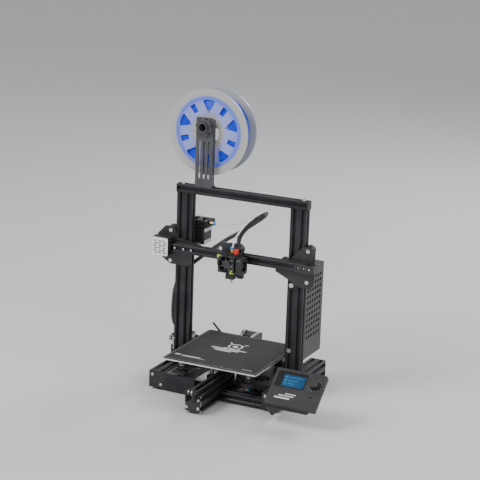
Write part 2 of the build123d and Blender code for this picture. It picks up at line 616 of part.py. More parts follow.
# ---------------------------------------------------------------- gantry
def make_gantry_plates():
    z = GANTRY_Z
    left = plate_xz([(-190, z + 45), (-168, z + 47), (-153, z + 20), (-104, z + 12), (-104, z - 10),
                     (-121, z - 14), (-121, z - 34), (-128, z - 45), (-176, z - 45), (-209, z - 24),
                     (-209, z + 25)], PLATE_Y1, 3.0, 3.5)
    left -= rod("y", (X_MOTOR_X, -20, z), 11.3, 20)
    right = plate_xz([(160, z + 44), (184, z + 46), (191, z + 34), (191, z - 40), (182, z - 53),
                      (163, z - 53), (145, z - 47), (122, z - 34), (95, z - 22), (95, z - 6), (104, z + 8),
                      (128, z + 10)], PLATE_Y1, 3.0, 3.5)
    for rise in (-Z_WHEEL_RISE, Z_WHEEL_RISE):
        left -= rod("y", (-Z_WHEEL_X, -20, z + rise), 2.45, 20)
        right -= rod("y", (Z_WHEEL_X, -20, z + rise), 2.45, 20)
    left -= rod("y", (-Z_WHEEL_IN, -20, z), 2.45, 20)
    right -= rod("y", (Z_WHEEL_IN, -20, z), 2.45, 20)

    # sheet bracket behind the left upright: carries the feeder motor and the lead screw's nut
    leg = block(-208, -167, 28.5, 31.5, z - 21, z + 21) + block(-184, -167, 28.5, 31.5, z + 21, z + 43)
    shelf = block(-184, -104, 28.5, 66, z + 40, z + 43)
    bracket = leg + shelf
    bracket -= rod("z", (SCREW_X, SCREW_Y, z + 30), 5.6, 20)
    bracket -= rod("z", (-128, 43, z + 30), 11.3, 20)

    top = z + 43.0
    nut = rod("z", (SCREW_X, SCREW_Y, top), 11.0, 3.5) + rod("z", (SCREW_X, SCREW_Y, top - 12), 5.1, 12)
    nut -= rod("z", (SCREW_X, SCREW_Y, top - 13), 4.4, 20)
    save(group([left, right, bracket, nut]), "gantry_plates")


def make_gantry_wheels():
    z = GANTRY_Z
    items = []
    spots = [(-Z_WHEEL_X, z + Z_WHEEL_RISE), (-Z_WHEEL_X, z - Z_WHEEL_RISE), (-Z_WHEEL_IN, z),
             (Z_WHEEL_X, z + Z_WHEEL_RISE), (Z_WHEEL_X, z - Z_WHEEL_RISE), (Z_WHEEL_IN, z)]
    for x, height in spots:
        items.append(Pos(x, 0, height) * Rot(90, 0, 0) * v_wheel())
        outer = abs(x) > 150
        bolt = rod("y", (x, PLATE_Y0, height), 2.4, 24.0)
        bolt += rod("y", (x, PLATE_Y1, height), 4.5, -PLATE_Y1 - 5.3)
        bolt += rod("y", (x, 5.3, height), 4.5, 4.2)
        if outer:
            bolt += rod("y", (x, PLATE_Y0 - 3.0, height), 4.6, 3.0)
        items.append(bolt)
    for x in (-155.0, -132.0, -112.0, 159.0, 172.5):
        items.append(Pos(x, BEAM_Y - 8.2, z) * Rot(90, 0, 0) * screw(0, 2.0, 2.9, 2.0))
    save(group(items), "gantry_wheels")


def make_gantry_beam():
    beam = extrusion_x(1, 1, BEAM_X0, BEAM_Y, GANTRY_Z, BEAM_X1 - BEAM_X0)
    save(beam, "gantry_beam")


def make_x_drive():
    z = GANTRY_Z
    body = Pos(X_MOTOR_X, PLATE_Y1, z) * Rot(90, 0, 0) * Rot(0, 0, 180) * motor(40.0)
    save(body, "head_motor")

    shaft = rod("y", (X_MOTOR_X, -33.5, z), 2.5, 31.0)
    wheel = Pos(X_MOTOR_X, BEAM_Y, z) * Rot(90, 0, 0) * pulley(7.0)
    hub = rod("y", (X_MOTOR_X, BEAM_Y + 4.5, z), 6.5, 4.6)
    save(shaft + wheel + hub, "head_drive_pulley")

    axle = rod("y", (X_IDLER_X, -37.0, z), 2.0, 21.0)
    roller = Pos(X_IDLER_X, BEAM_Y, z) * Rot(90, 0, 0) * pulley(7.0)
    save(axle + roller, "head_idler_roller")

    front = block(150, 199, -38.0, -35.5, z - 9, z + 9)
    front = fillet(front.edges().filter_by(Axis.Y), 2.5)
    rear = block(178, 199, -18.0, -15.5, z - 9, z + 9)
    wall = block(196.5, 199, -35.5, -15.5, z - 9, z + 9)
    bridge = block(150, 176, -35.5, -34.5, z - 2.8, z + 2.8)
    tensioner = front + wall + rear + bridge
    tensioner -= rod("y", (X_IDLER_X, -40, z), 2.4, 40)
    for x in (159.0, 172.5):
        tensioner -= rod("y", (x, -40, z), 3.2, 7)
    save(tensioner, "belt_tensioner")

    middle = (X_MOTOR_X + X_IDLER_X) / 2
    half = (X_IDLER_X - X_MOTOR_X) / 2
    loop = extrude(belt_section(half), 3.0, both=True)
    save(Pos(middle, BEAM_Y, z) * Rot(90, 0, 0) * loop, "head_belt")

    x0, x1 = -209.5, -165.5
    cover = block(x0, x1, -46, PLATE_Y0, z - 20, z + 24)
    cover = fillet(cover.edges().filter_by(Axis.Y), 3.0)
    cover -= block(x0 + 1.6, x1 - 1.6, -44.4, PLATE_Y0 + 1, z - 18.4, z + 22.4)
    cover -= block(x1 - 3, x1 + 1, -32, -17, z - 12, z + 12)
    label = block(x0 + 3, x1 - 2, -46.8, -46, z - 17, z + 22)
    label = fillet(label.edges().filter_by(Axis.Y), 4.0)
    save(group([cover, label]), "drive_cover")


def make_extruder():
    z = GANTRY_Z + 43.0
    mx, my = -128.0, 43.0
    save(Pos(mx, my, z - 3.0) * motor(38.0), "feeder_motor")

    base = block(-148, -100, 22, 64, z, z + 4)
    base -= rod("z", (mx, my, z - 1), 11.4, 6)
    back = block(-148, -100, 50, 64, z + 4, z + 15)
    back -= rod("z", (mx, my, z + 3), 8.5, 20)
    guide = block(-112, -100, 33, 50, z + 4, z + 15)
    guide -= rod("x", (-115, 36.6, z + 9.5), 1.1, 20)
    guide -= rod("z", (-106, 30, z + 3), 7.0, 20)
    seat = block(-148, -144, 38, 50, z + 4, z + 15)
    body = base + back + guide + seat
    fitting = rod("x", (-100, 36.6, z + 9.5), 4.0, 10) - rod("x", (-101, 36.6, z + 9.5), 2.3, 12)
    clip = rod("x", (-90, 36.6, z + 9.5), 4.8, 4) - rod("x", (-91, 36.6, z + 9.5), 2.3, 6)
    pivot = rod("z", (-106, 28, z + 4), 2.0, 13)
    save(group([body, fitting, clip, pivot]), "feeder_body")

    arm = block(-154, -110, 24.5, 33.5, z + 5, z + 14.5)
    arm += rod("z", (-106, 28, z + 5), 5.5, 9.5)
    arm += block(-112, -105, 24.5, 30, z + 5, z + 14.5)
    arm = fillet(arm.edges().filter_by(Axis.Z).sort_by(Axis.X)[0:2], 3.0)
    arm -= rod("z", (-106, 28, z + 4), 2.4, 16)
    arm -= rod("z", (mx, 30.7, z + 7), 6.6, 5.5)
    save(arm, "feeder_lever")

    gear = rod("z", (mx, my, z + 4.6), 5.5, 9.4)
    for k in range(16):
        a = math.radians(22.5 * k)
        gear -= rod("z", (mx + 5.7 * math.cos(a), my + 5.7 * math.sin(a), z + 7.5), 0.5, 4)
    gear += rod("z", (mx, my, z - 12), 2.5, 28)
    save(gear, "feeder_gear")


# ---------------------------------------------------------------- print head
def make_head():
    z = GANTRY_Z
    back = plate_xz([(-34, z + 32), (-2, z + 36), (18, z + 36), (21, z + 30), (21, z - 20), (10, z - 32),
                     (-28, z - 32), (-40, z - 20), (-40, z + 24)], -38.0, 3.0, 2.0)
    for x, dz in CARRIAGE_WHEELS:
        back -= rod("y", (x, -45, z + dz), 2.45, 10)
    # clip that holds the head's cable at the top edge of the plate
    clip = block(CLIP_X - 7, CLIP_X + 6, CLIP_Y - 6.5, -41.0, CLIP_TOP - 10.5, CLIP_TOP)
    clip = fillet(clip.edges().filter_by(Axis.Z).sort_by(Axis.Y)[0:2], 2.5)
    save(group([back, clip]), "head_plate")

    items = []
    for x, dz in CARRIAGE_WHEELS:
        items.append(Pos(x, BEAM_Y, z + dz) * Rot(90, 0, 0) * v_wheel())
        bolt = rod("y", (x, -41.0, z + dz), 2.4, 23.0)
        bolt += rod("y", (x, -44.0, z + dz), 4.6, 3.0)
        bolt += rod("y", (x, -38.0, z + dz), 4.5, 8.2)
        bolt += rod("y", (x, BEAM_Y + 5.3, z + dz), 4.5, 3.0)
        items.append(bolt)
    save(group(items), "head_wheels")

    sink = rod("z", (SINK_X, HEAD_Y, 296), 5.0, 28)
    for k in range(10):
        sink += rod("z", (SINK_X, HEAD_Y, 297 + 2.7 * k), 10.5, 1.2)
    sink += rod("z", (SINK_X, HEAD_Y, 286), 1.8, 10.5)
    top = rod("z", (SINK_X, HEAD_Y, 324), 4.5, 20)
    top -= rod("z", (SINK_X, HEAD_Y, 330), 2.3, 20)
    clip = rod("z", (SINK_X, HEAD_Y, 344), 5.2, 4) - rod("z", (SINK_X, HEAD_Y, 343), 2.3, 6)
    heater = block(SINK_X - 12, SINK_X + 8, HEAD_Y - 8, HEAD_Y + 8, 274, 286)
    nozzle_hex = Pos(SINK_X, HEAD_Y, 270.5) * extrude(RegularPolygon(4.0, 6), 3.5)
    cone = Pos(SINK_X, HEAD_Y, (NOZZLE_TIP_Z + 270.5) / 2) * Cone(0.8, 3.4, 270.5 - NOZZLE_TIP_Z)
    save(group([sink, top, clip, heater, nozzle_hex + cone]), "hot_end")

    x0, x1 = HEAD_X - 24, HEAD_X + 22
    shroud = block(x0, x1, -70, -41, 289, 335)
    shroud = fillet(shroud.edges().filter_by(Axis.Z), 2.0)
    shroud -= block(x0 + 1.5, x1 - 1.5, -68.5, -40, 288, 333.5)
    shroud -= rod("y", (HEAD_X - 1, -72, 312), 18.5, 5)
    shroud -= rod("z", (SINK_X, HEAD_Y, 332), 6.0, 5)
    shroud -= block(2, 16, -46, -40, 331, 336)
    frame = block(HEAD_X - 21, HEAD_X + 19, -80, -70, 292, 332)
    frame = fillet(frame.edges().filter_by(Axis.Y), 3.0)
    frame -= rod("y", (HEAD_X - 1, -81, 312), 18.8, 12)
    struts = block(HEAD_X - 20, HEAD_X + 18, -72, -70.2, 310.8, 313.2)
    struts += block(HEAD_X - 2.2, HEAD_X + 0.2, -72, -70.2, 293, 331)
    struts += rod("y", (HEAD_X - 1, -72, 312), 8.5, 1.8)
    pin = rod("y", (HEAD_X - 1, -78.5, 312), 1.2, 7.0)
    for x in (-16, 16):
        for dz in (-16, 16):
            frame -= rod("y", (HEAD_X - 1 + x, -81, 312 + dz), 1.7, 12)
    screws = []
    for x in (-16, 16):
        for dz in (-16, 16):
            screws.append(front_screw(HEAD_X - 1 + x, -80.0, 312 + dz, 8.0, 1.4, 2.8, 1.8))
    save(group([shroud, frame + struts + pin] + screws), "head_shroud")

    hub = rod("y", (0, -79.0, 0), 9.0, 6.0)
    for k in range(7):
        blade = Pos(12.6, -76.0, 0) * Rot(35, 0, 0) * Box(9.6, 6.4, 1.1)
        hub += Rot(0, 360.0 / 7 * k, 0) * blade
    hub -= rod("y", (0, -78.8, 0), 1.6, 8.0)
    save(Pos(HEAD_X - 1, 0, 312) * hub, "head_fan_rotor")

    bx0, bx1 = 26.0, 38.0
    blower = block(bx0, bx1, -80, -44, 289, 327)
    blower = fillet(blower.edges().filter_by(Axis.X), 6.0)
    blower -= rod("x", (bx0 + 1.5, -62, 308), 16.0, 9.0)
    blower -= rod("x", (bx0 + 9, -62, 308), 12.0, 5.0)
    duct = plate_yz([(-77, 290), (-60, 290), (-59, 281), (-71, 281)], bx0, 12.0)
    duct -= plate_yz([(-75.5, 291), (-61.5, 291), (-60.5, 280), (-69.5, 280)], bx0 + 1.5, 9.0)
    tab = block(24.0, 26.0, -60, -41, 318, 326)
    save(blower + duct + tab, "part_blower")

    wheel = rod("x", (bx0 + 2.2, 0, 0), 6.0, 6.5)
    for k in range(16):
        blade = Pos(bx0 + 5.4, 11.5, 0) * Rot(30, 0, 0) * Box(6.4, 5.0, 0.9)
        wheel += Rot(360.0 / 16 * k, 0, 0) * blade
    wheel += rod("x", (bx0 + 2.2, 0, 0), 13.5, 1.0)
    save(Pos(0, -62, 308) * wheel, "blower_rotor")


# ---------------------------------------------------------------- tubes and cable
def run(points, radius):
    """A round tube along straight runs joined by arcs of 0.45 of the shorter run at each corner."""
    vectors = [Vector(*p) for p in points]
    radii = []
    for before, here, after in zip(vectors, vectors[1:], vectors[2:]):
        turn = (here - before).get_angle(after - here)
        shorter = min((here - before).length, (after - here).length)
        radii.append(0.45 * shorter / math.tan(math.radians(turn) / 2))
    print("bend radii:", [round(r, 1) for r in radii])
    line = FilletPolyline(*points, radius=radii)
    section = Plane(origin=line @ 0, z_dir=line % 0) * Circle(radius)
    return sweep(section, path=line)


def make_lines():
    tube = run([(-89.5, 36.6, 369.5), (-60, 36.6, 370.5), (-30, 31, 378), (-3, 23, 388), (24, 14, 400),
                (50, 2, 416), (70, -8, 431), (82, -22, 440), (82, -44, 442), (68, -60, 433),
                (49, -57, 418), (33, -57, 403), (18, -58, 388), (SINK_X, HEAD_Y, 370),
                (SINK_X, HEAD_Y, 345)], 2.0)
    save(tube, "filament_tube")

    loom = run([(CLIP_X, CLIP_Y, CLIP_TOP), (CLIP_X, CLIP_Y, 373), (33, -47.5, 399), (55, -46, 410),
                (71, -28, 420.5), (71, 0, 420.5), (55, 19, 410), (18, 20, 385), (-12, 20, 364),
                (-53, 19, 338), (-100, 19, 299)], 4.5)
    save(loom, "head_cable")

    lower = run([(-100, 19, 299), (-135, 19, 270), (-165, 20, 240), (-180, 21, 205), (-184, 22, 167),
                 (-188, 29, 134), (-194, 48, 103), (-181, 68, 84), (-156, 78, 73), (-131, 84, 64),
                 (-115, 85, 50), (GLAND_X, GLAND_Y, GLAND_TOP)], 4.5)
    save(lower, "gantry_cable")


make_base()
make_portal()
make_frame_screws()
make_motor_brackets()
make_height_switch()
make_frame_motors()
make_lead_screw()
make_bed_drive()
make_power_supply()
make_control_box()
make_display()
make_spool_holder()
make_spool()
make_bed()
make_gantry_plates()
make_gantry_wheels()
make_gantry_beam()
make_x_drive()
make_extruder()
make_head()
make_lines()
print("left, right:", round(min(b.min.X for b in extents), 2), round(max(b.max.X for b in extents), 2))
print("front, rear:", round(min(b.min.Y for b in extents), 2), round(max(b.max.Y for b in extents), 2))
print("height:", round(max(b.max.Z for b in extents), 2))
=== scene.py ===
import math

import bmesh
import bpy
import numpy as np
from mathutils import Matrix, Vector


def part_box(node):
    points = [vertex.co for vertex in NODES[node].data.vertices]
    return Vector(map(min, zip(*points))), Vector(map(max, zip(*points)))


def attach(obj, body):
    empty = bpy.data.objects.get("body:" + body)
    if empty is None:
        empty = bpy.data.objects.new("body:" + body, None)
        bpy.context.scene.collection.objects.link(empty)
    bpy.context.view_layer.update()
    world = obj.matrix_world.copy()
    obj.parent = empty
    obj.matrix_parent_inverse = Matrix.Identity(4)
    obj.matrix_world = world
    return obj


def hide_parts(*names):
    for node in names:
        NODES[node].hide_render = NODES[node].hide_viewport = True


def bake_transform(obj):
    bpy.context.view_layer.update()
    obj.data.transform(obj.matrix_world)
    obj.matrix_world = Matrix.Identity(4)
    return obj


# Looks of a desktop filament printer: open black extrusion frame, sliding bed, lifting gantry,
# print head with a looped tube and cable, and a spool on top. Everything is in metres, Z up.
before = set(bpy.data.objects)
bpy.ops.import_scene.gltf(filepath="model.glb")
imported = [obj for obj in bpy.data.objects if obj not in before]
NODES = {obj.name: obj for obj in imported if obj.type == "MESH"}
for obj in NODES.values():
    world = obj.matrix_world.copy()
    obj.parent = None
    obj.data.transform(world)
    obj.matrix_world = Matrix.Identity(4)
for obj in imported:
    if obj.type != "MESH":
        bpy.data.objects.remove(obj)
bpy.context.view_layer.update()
MM = 0.001

# The middle of the two uprights is where the places below are counted from, in millimetres.
portal_low, portal_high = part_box("uprights")
PORTAL = (portal_low + portal_high) / 2

# Driving places, counted the same way: the gantry beam's middle height, the spool's centre, the
# lead screw's axis (x, y) and the middle of the fan's front.
GANTRY_Z = 317.0
SPOOL_CENTRE = (-97.0, 33.0, 590.4)
SCREW_AXIS = (-160.0, 34.4)
FAN_CENTRE = (1.0, -79.0, 312.0)


def at(x, y, z):
    """A point given in millimetres from the portal's middle at floor level, in the row frame."""
    return Vector((PORTAL.x + x * MM, PORTAL.y + y * MM, z * MM))


def local(points):
    """Row frame points as millimetres from the portal's middle at floor level."""
    return (np.asarray(points, float) - np.array([PORTAL.x, PORTAL.y, 0.0])) / MM


def local_box(name):
    """A CAD node's lowest and highest corners at rest, as local millimetres."""
    return local([list(corner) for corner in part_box(name)])


# ---------------- camera, light and floor
CAMERA_AZIMUTH = math.radians(25.32)
CAMERA_ELEVATION = math.radians(14.98)
CAMERA_ROLL = math.radians(1.99)
CAMERA_DISTANCE = 3.76
CAMERA_TARGET = at(-3.3, 0.0, 350.7)
LENS = 122.84


def make_camera():
    """Camera at the given azimuth, elevation, roll and distance, aimed at its target."""
    side = math.cos(CAMERA_ELEVATION)
    back = Vector((math.sin(CAMERA_AZIMUTH) * side, -math.cos(CAMERA_AZIMUTH) * side,
                   math.sin(CAMERA_ELEVATION)))
    level = (-back).cross(Vector((0, 0, 1))).normalized()
    above = level.cross(-back)
    right = level * math.cos(CAMERA_ROLL) + above * math.sin(CAMERA_ROLL)
    up = above * math.cos(CAMERA_ROLL) - level * math.sin(CAMERA_ROLL)
    data = bpy.data.cameras.new("camera")
    data.lens = LENS
    data.sensor_width = 36.0
    data.clip_end = 100.0
    camera = bpy.data.objects.new("camera", data)
    camera.matrix_world = Matrix.Translation(CAMERA_TARGET + back * CAMERA_DISTANCE) @ Matrix(
        (right, up, back)).transposed().to_4x4()
    bpy.context.scene.collection.objects.link(camera)
    bpy.context.scene.camera = camera


def area_light(name, place, size, power, colour=(1.0, 1.0, 1.0)):
    """A round soft light aimed at the camera's target."""
    data = bpy.data.lights.new(name, "AREA")
    data.shape = "DISK"
    data.size = size
    data.energy = power
    data.color = colour
    light = bpy.data.objects.new(name, data)
    light.location = place
    light.rotation_mode = "QUATERNION"
    light.rotation_quaternion = (CAMERA_TARGET - place).to_track_quat("-Z", "Y")
    bpy.context.scene.collection.objects.link(light)


def make_lights():
    """Three soft lights and a pale sky."""
    area_light("key_light", Vector((-1.5, -1.9, 2.3)), 1.5, 62.0)
    area_light("fill_light", Vector((2.4, -1.4, 1.3)), 1.8, 30.0, (0.96, 0.98, 1.0))
    area_light("rim_light", Vector((0.6, 2.4, 2.2)), 1.4, 46.0)
    world = bpy.data.worlds.new("studio")
    world.use_nodes = True
    background = world.node_tree.nodes["Background"]
    background.inputs["Color"].default_value = (0.92, 0.94, 0.96, 1.0)
    background.inputs["Strength"].default_value = 0.58
    bpy.context.scene.world = world


def make_floor():
    """Plain pale floor, a hair below the feet."""
    reach = 20.0
    gap = 0.0004
    corners = [(-reach, -reach, 0), (reach, -reach, 0), (reach, reach, 0), (-reach, reach, 0)]
    mesh = bpy.data.meshes.new("floor")
    mesh.from_pydata(corners, [], [(0, 1, 2, 3)])
    floor = bpy.data.objects.new("floor", mesh)
    floor.location.z = -gap
    bpy.context.scene.collection.objects.link(floor)
    mesh.materials.append(material("floor_paint", (0.70, 0.705, 0.71), roughness=0.65))


# ---------------- materials
def material(name, colour, metallic=0.0, roughness=0.5, **sockets):
    """A plain Principled material; the patterns below add what varies over the surface."""
    made = bpy.data.materials.new(name)
    made.use_nodes = True
    shader = shader_of(made)
    shader.inputs["Base Color"].default_value = (*colour, 1.0)
    shader.inputs["Metallic"].default_value = metallic
    shader.inputs["Roughness"].default_value = roughness
    for key, value in sockets.items():
        shader.inputs[key.replace("_", " ")].default_value = value
    return made


def node(made, kind, **settings):
    """A new shader node; settings name its properties or, in capitals, its input sockets."""
    new = made.node_tree.nodes.new(kind)
    for key, value in settings.items():
        if key[0].isupper():
            new.inputs[key.replace("_", " ")].default_value = value
        else:
            setattr(new, key, value)
    return new


def link(made, start, end):
    made.node_tree.links.new(start, end)


def placed(made, stretch=(1, 1, 1), coordinates="Object"):
    """Texture coordinates of the object itself, stretched along its axes."""
    source = node(made, "ShaderNodeTexCoord")
    mapping = node(made, "ShaderNodeMapping", Scale=stretch)
    link(made, source.outputs[coordinates], mapping.inputs["Vector"])
    return mapping.outputs["Vector"]


def noise(made, scale, detail=4.0, stretch=(1, 1, 1)):
    """A noise pattern's value over the surface."""
    texture = node(made, "ShaderNodeTexNoise", Scale=scale, Detail=detail, Roughness=0.55)
    link(made, placed(made, stretch), texture.inputs["Vector"])
    return texture.outputs["Fac"]


def shader_of(made):
    """The material's own Principled shader."""
    return made.node_tree.nodes["Principled BSDF"]


def vary_colour(made, factor, low, high, start=0.35, end=0.65):
    """Base colour between two shades, driven by a pattern."""
    ramp = node(made, "ShaderNodeValToRGB")
    ramp.color_ramp.elements[0].position = start
    ramp.color_ramp.elements[1].position = end
    ramp.color_ramp.elements[0].color = (*low, 1.0)
    ramp.color_ramp.elements[1].color = (*high, 1.0)
    link(made, factor, ramp.inputs["Fac"])
    link(made, ramp.outputs["Color"], shader_of(made).inputs["Base Color"])


def vary_roughness(made, factor, low, high):
    """Roughness between two values, driven by a pattern."""
    spread = node(made, "ShaderNodeMapRange", To_Min=low, To_Max=high, From_Min=0.3, From_Max=0.7)
    link(made, factor, spread.inputs["Value"])
    link(made, spread.outputs["Result"], shader_of(made).inputs["Roughness"])


def add_bump(made, height, strength, distance):
    """Bump from a pattern; the distance is its depth in metres."""
    bump = node(made, "ShaderNodeBump", Strength=strength, Distance=distance)
    link(made, height, bump.inputs["Height"])
    link(made, bump.outputs["Normal"], shader_of(made).inputs["Normal"])


def anodised(name, stretch):
    """Black anodised aluminium with fine draw lines along the profile."""
    made = material(name, (0.028, 0.029, 0.032), 0.55, 0.36, Specular_IOR_Level=0.55)
    lines = noise(made, 700.0, 3.0, stretch)
    cloud = noise(made, 22.0, 5.0)
    vary_colour(made, cloud, (0.022, 0.023, 0.026), (0.040, 0.041, 0.045))
    vary_roughness(made, lines, 0.30, 0.46)
    add_bump(made, lines, 0.16, 0.0002)
    return made


def coated(name, low, high, grain=1100.0):
    """Powder coated sheet: a fine orange peel and a little dust."""
    made = material(name, low, 0.0, 0.45, Coat_Weight=0.12, Coat_Roughness=0.35)
    vary_colour(made, noise(made, 30.0, 6.0), low, high)
    vary_roughness(made, noise(made, 60.0, 4.0), 0.36, 0.5)
    add_bump(made, noise(made, grain, 2.0), 0.22, 0.0003)
    return made


def moulded(name, low, high, rough=(0.42, 0.58), grain=1600.0):
    """Moulded plastic with a fine spark texture."""
    made = material(name, low, 0.0, 0.5)
    vary_colour(made, noise(made, 45.0, 4.0), low, high)
    vary_roughness(made, noise(made, 90.0, 3.0), *rough)
    add_bump(made, noise(made, grain, 2.0), 0.18, 0.0002)
    return made


def metal(name, low, high, rough=(0.22, 0.38), stretch=(1, 1, 1)):
    """Bare metal with brushing along the stretched axis."""
    made = material(name, low, 1.0, 0.3)
    vary_colour(made, noise(made, 60.0, 4.0), low, high)
    lines = noise(made, 900.0, 3.0, stretch)
    vary_roughness(made, lines, *rough)
    add_bump(made, lines, 0.12, 0.0001)
    return made


def laminated(name, axis):
    """Stacked motor sheets: fine lines across the motor's axis."""
    made = material(name, (0.02, 0.02, 0.022), 0.3, 0.45)
    waves = node(made, "ShaderNodeTexWave", wave_type="BANDS", bands_direction=axis, Scale=320.0,
                 Distortion=0.3)
    link(made, placed(made), waves.inputs["Vector"])
    vary_colour(made, waves.outputs["Fac"], (0.016, 0.016, 0.018), (0.045, 0.045, 0.048), 0.2, 0.8)
    vary_roughness(made, noise(made, 80.0), 0.38, 0.55)
    add_bump(made, waves.outputs["Fac"], 0.35, 0.0003)
    return made


def mat_material():
    """Magnetic build mat: dark grey, fine pebble texture with slight scuffs."""
    made = material("mat_pebble", (0.04, 0.04, 0.042), 0.0, 0.62, Specular_IOR_Level=0.22)
    pebble = node(made, "ShaderNodeTexVoronoi", Scale=900.0)
    link(made, placed(made), pebble.inputs["Vector"])
    vary_colour(made, noise(made, 9.0, 3.0), (0.030, 0.030, 0.032), (0.040, 0.040, 0.042))
    vary_roughness(made, noise(made, 30.0, 4.0), 0.55, 0.66)
    add_bump(made, pebble.outputs["Distance"], 0.12, 0.0002)
    return made


def sleeve_material():
    """Braided cable sleeve: two crossing diagonal weaves on the tube's own coordinates."""
    made = material("braided_sleeve", (0.02, 0.02, 0.022), 0.0, 0.6, Sheen_Weight=0.25)
    heights = []
    for turns in (14.0, -14.0):
        mapping = placed(made, (260.0, turns, 1.0), "UV")
        lean = node(made, "ShaderNodeTexWave", wave_type="BANDS", bands_direction="DIAGONAL", Scale=0.32)
        link(made, mapping, lean.inputs["Vector"])
        heights.append(lean.outputs["Fac"])
    weave = node(made, "ShaderNodeMath", operation="MAXIMUM")
    link(made, heights[0], weave.inputs[0])
    link(made, heights[1], weave.inputs[1])
    vary_colour(made, weave.outputs["Value"], (0.008, 0.008, 0.009), (0.045, 0.045, 0.048), 0.2, 0.9)
    add_bump(made, weave.outputs["Value"], 0.8, 0.0006)
    return made


def spool_material():
    """Milky spool: a cream hub, a web tinted by the blue filament behind it and a grey-white rim.
    The stops are shares of the ramp's reach, in metres from the spool's axis."""
    ramp_reach = 0.1
    cream = (0.45, 0.45, 0.41)
    made = material("spool_plastic", (0.5, 0.5, 0.5), 0.0, 0.34, Coat_Weight=0.15)
    source = node(made, "ShaderNodeTexCoord")
    flatten = node(made, "ShaderNodeVectorMath", operation="MULTIPLY")
    flatten.inputs[1].default_value = (1.0, 0.0, 1.0)
    link(made, source.outputs["Object"], flatten.inputs[0])
    centre = at(*SPOOL_CENTRE)
    reach = node(made, "ShaderNodeVectorMath", operation="DISTANCE")
    reach.inputs[1].default_value = (centre.x, 0.0, centre.z)
    link(made, flatten.outputs["Vector"], reach.inputs[0])
    share = node(made, "ShaderNodeMapRange", From_Min=0.0, From_Max=ramp_reach)
    link(made, reach.outputs["Value"], share.inputs["Value"])
    ramp = node(made, "ShaderNodeValToRGB")
    stops = ((0.0, cream), (0.395, cream), (0.405, (0.36, 0.38, 0.70)),
             (0.70, (0.27, 0.31, 0.74)), (0.76, (0.13, 0.18, 0.68)), (0.825, (0.15, 0.20, 0.70)),
             (0.835, (0.40, 0.41, 0.40)), (1.0, (0.44, 0.44, 0.42)))
    steps = ramp.color_ramp.elements
    while len(steps) < len(stops):
        steps.new(0.5)
    for step, (place, colour) in zip(steps, stops):
        step.position = place
        step.color = (*colour, 1.0)
    link(made, share.outputs["Result"], ramp.inputs["Fac"])
    link(made, ramp.outputs["Color"], shader_of(made).inputs["Base Color"])
    vary_roughness(made, noise(made, 70.0, 3.0), 0.26, 0.42)
    return made


def ptfe_material():
    """Milky tube that light goes a little way into."""
    made = material("ptfe_milky", (0.86, 0.87, 0.87), 0.0, 0.32, Subsurface_Weight=0.35,
                    Subsurface_Scale=0.003)
    shader_of(made).inputs["Subsurface Radius"].default_value = (1.0, 0.9, 0.85)
    vary_colour(made, noise(made, 120.0, 3.0), (0.80, 0.81, 0.82), (0.90, 0.90, 0.89))
    vary_roughness(made, noise(made, 200.0, 2.0), 0.26, 0.4)
    return made


def circuit_material():
    """Green solder mask with faint tracks."""
    made = material("solder_mask", (0.01, 0.12, 0.06), 0.0, 0.3, Coat_Weight=0.5)
    tracks = node(made, "ShaderNodeTexBrick", Scale=160.0, Mortar_Size=0.03)
    link(made, placed(made), tracks.inputs["Vector"])
    vary_colour(made, tracks.outputs["Fac"], (0.012, 0.11, 0.055), (0.03, 0.2, 0.1), 0.1, 0.9)
    return made


def lcd_material():
    """Lit blue panel with slightly uneven backlight."""
    made = material("lcd_panel", (0.004, 0.06, 0.16), 0.0, 0.22, Specular_IOR_Level=0.4)
    vary_colour(made, noise(made, 20.0, 2.0), (0.003, 0.05, 0.14), (0.006, 0.085, 0.21))
    vary_roughness(made, noise(made, 60.0, 2.0), 0.16, 0.26)
    return made


# Every material by the name that the pieces ask for.
LOOK = {}


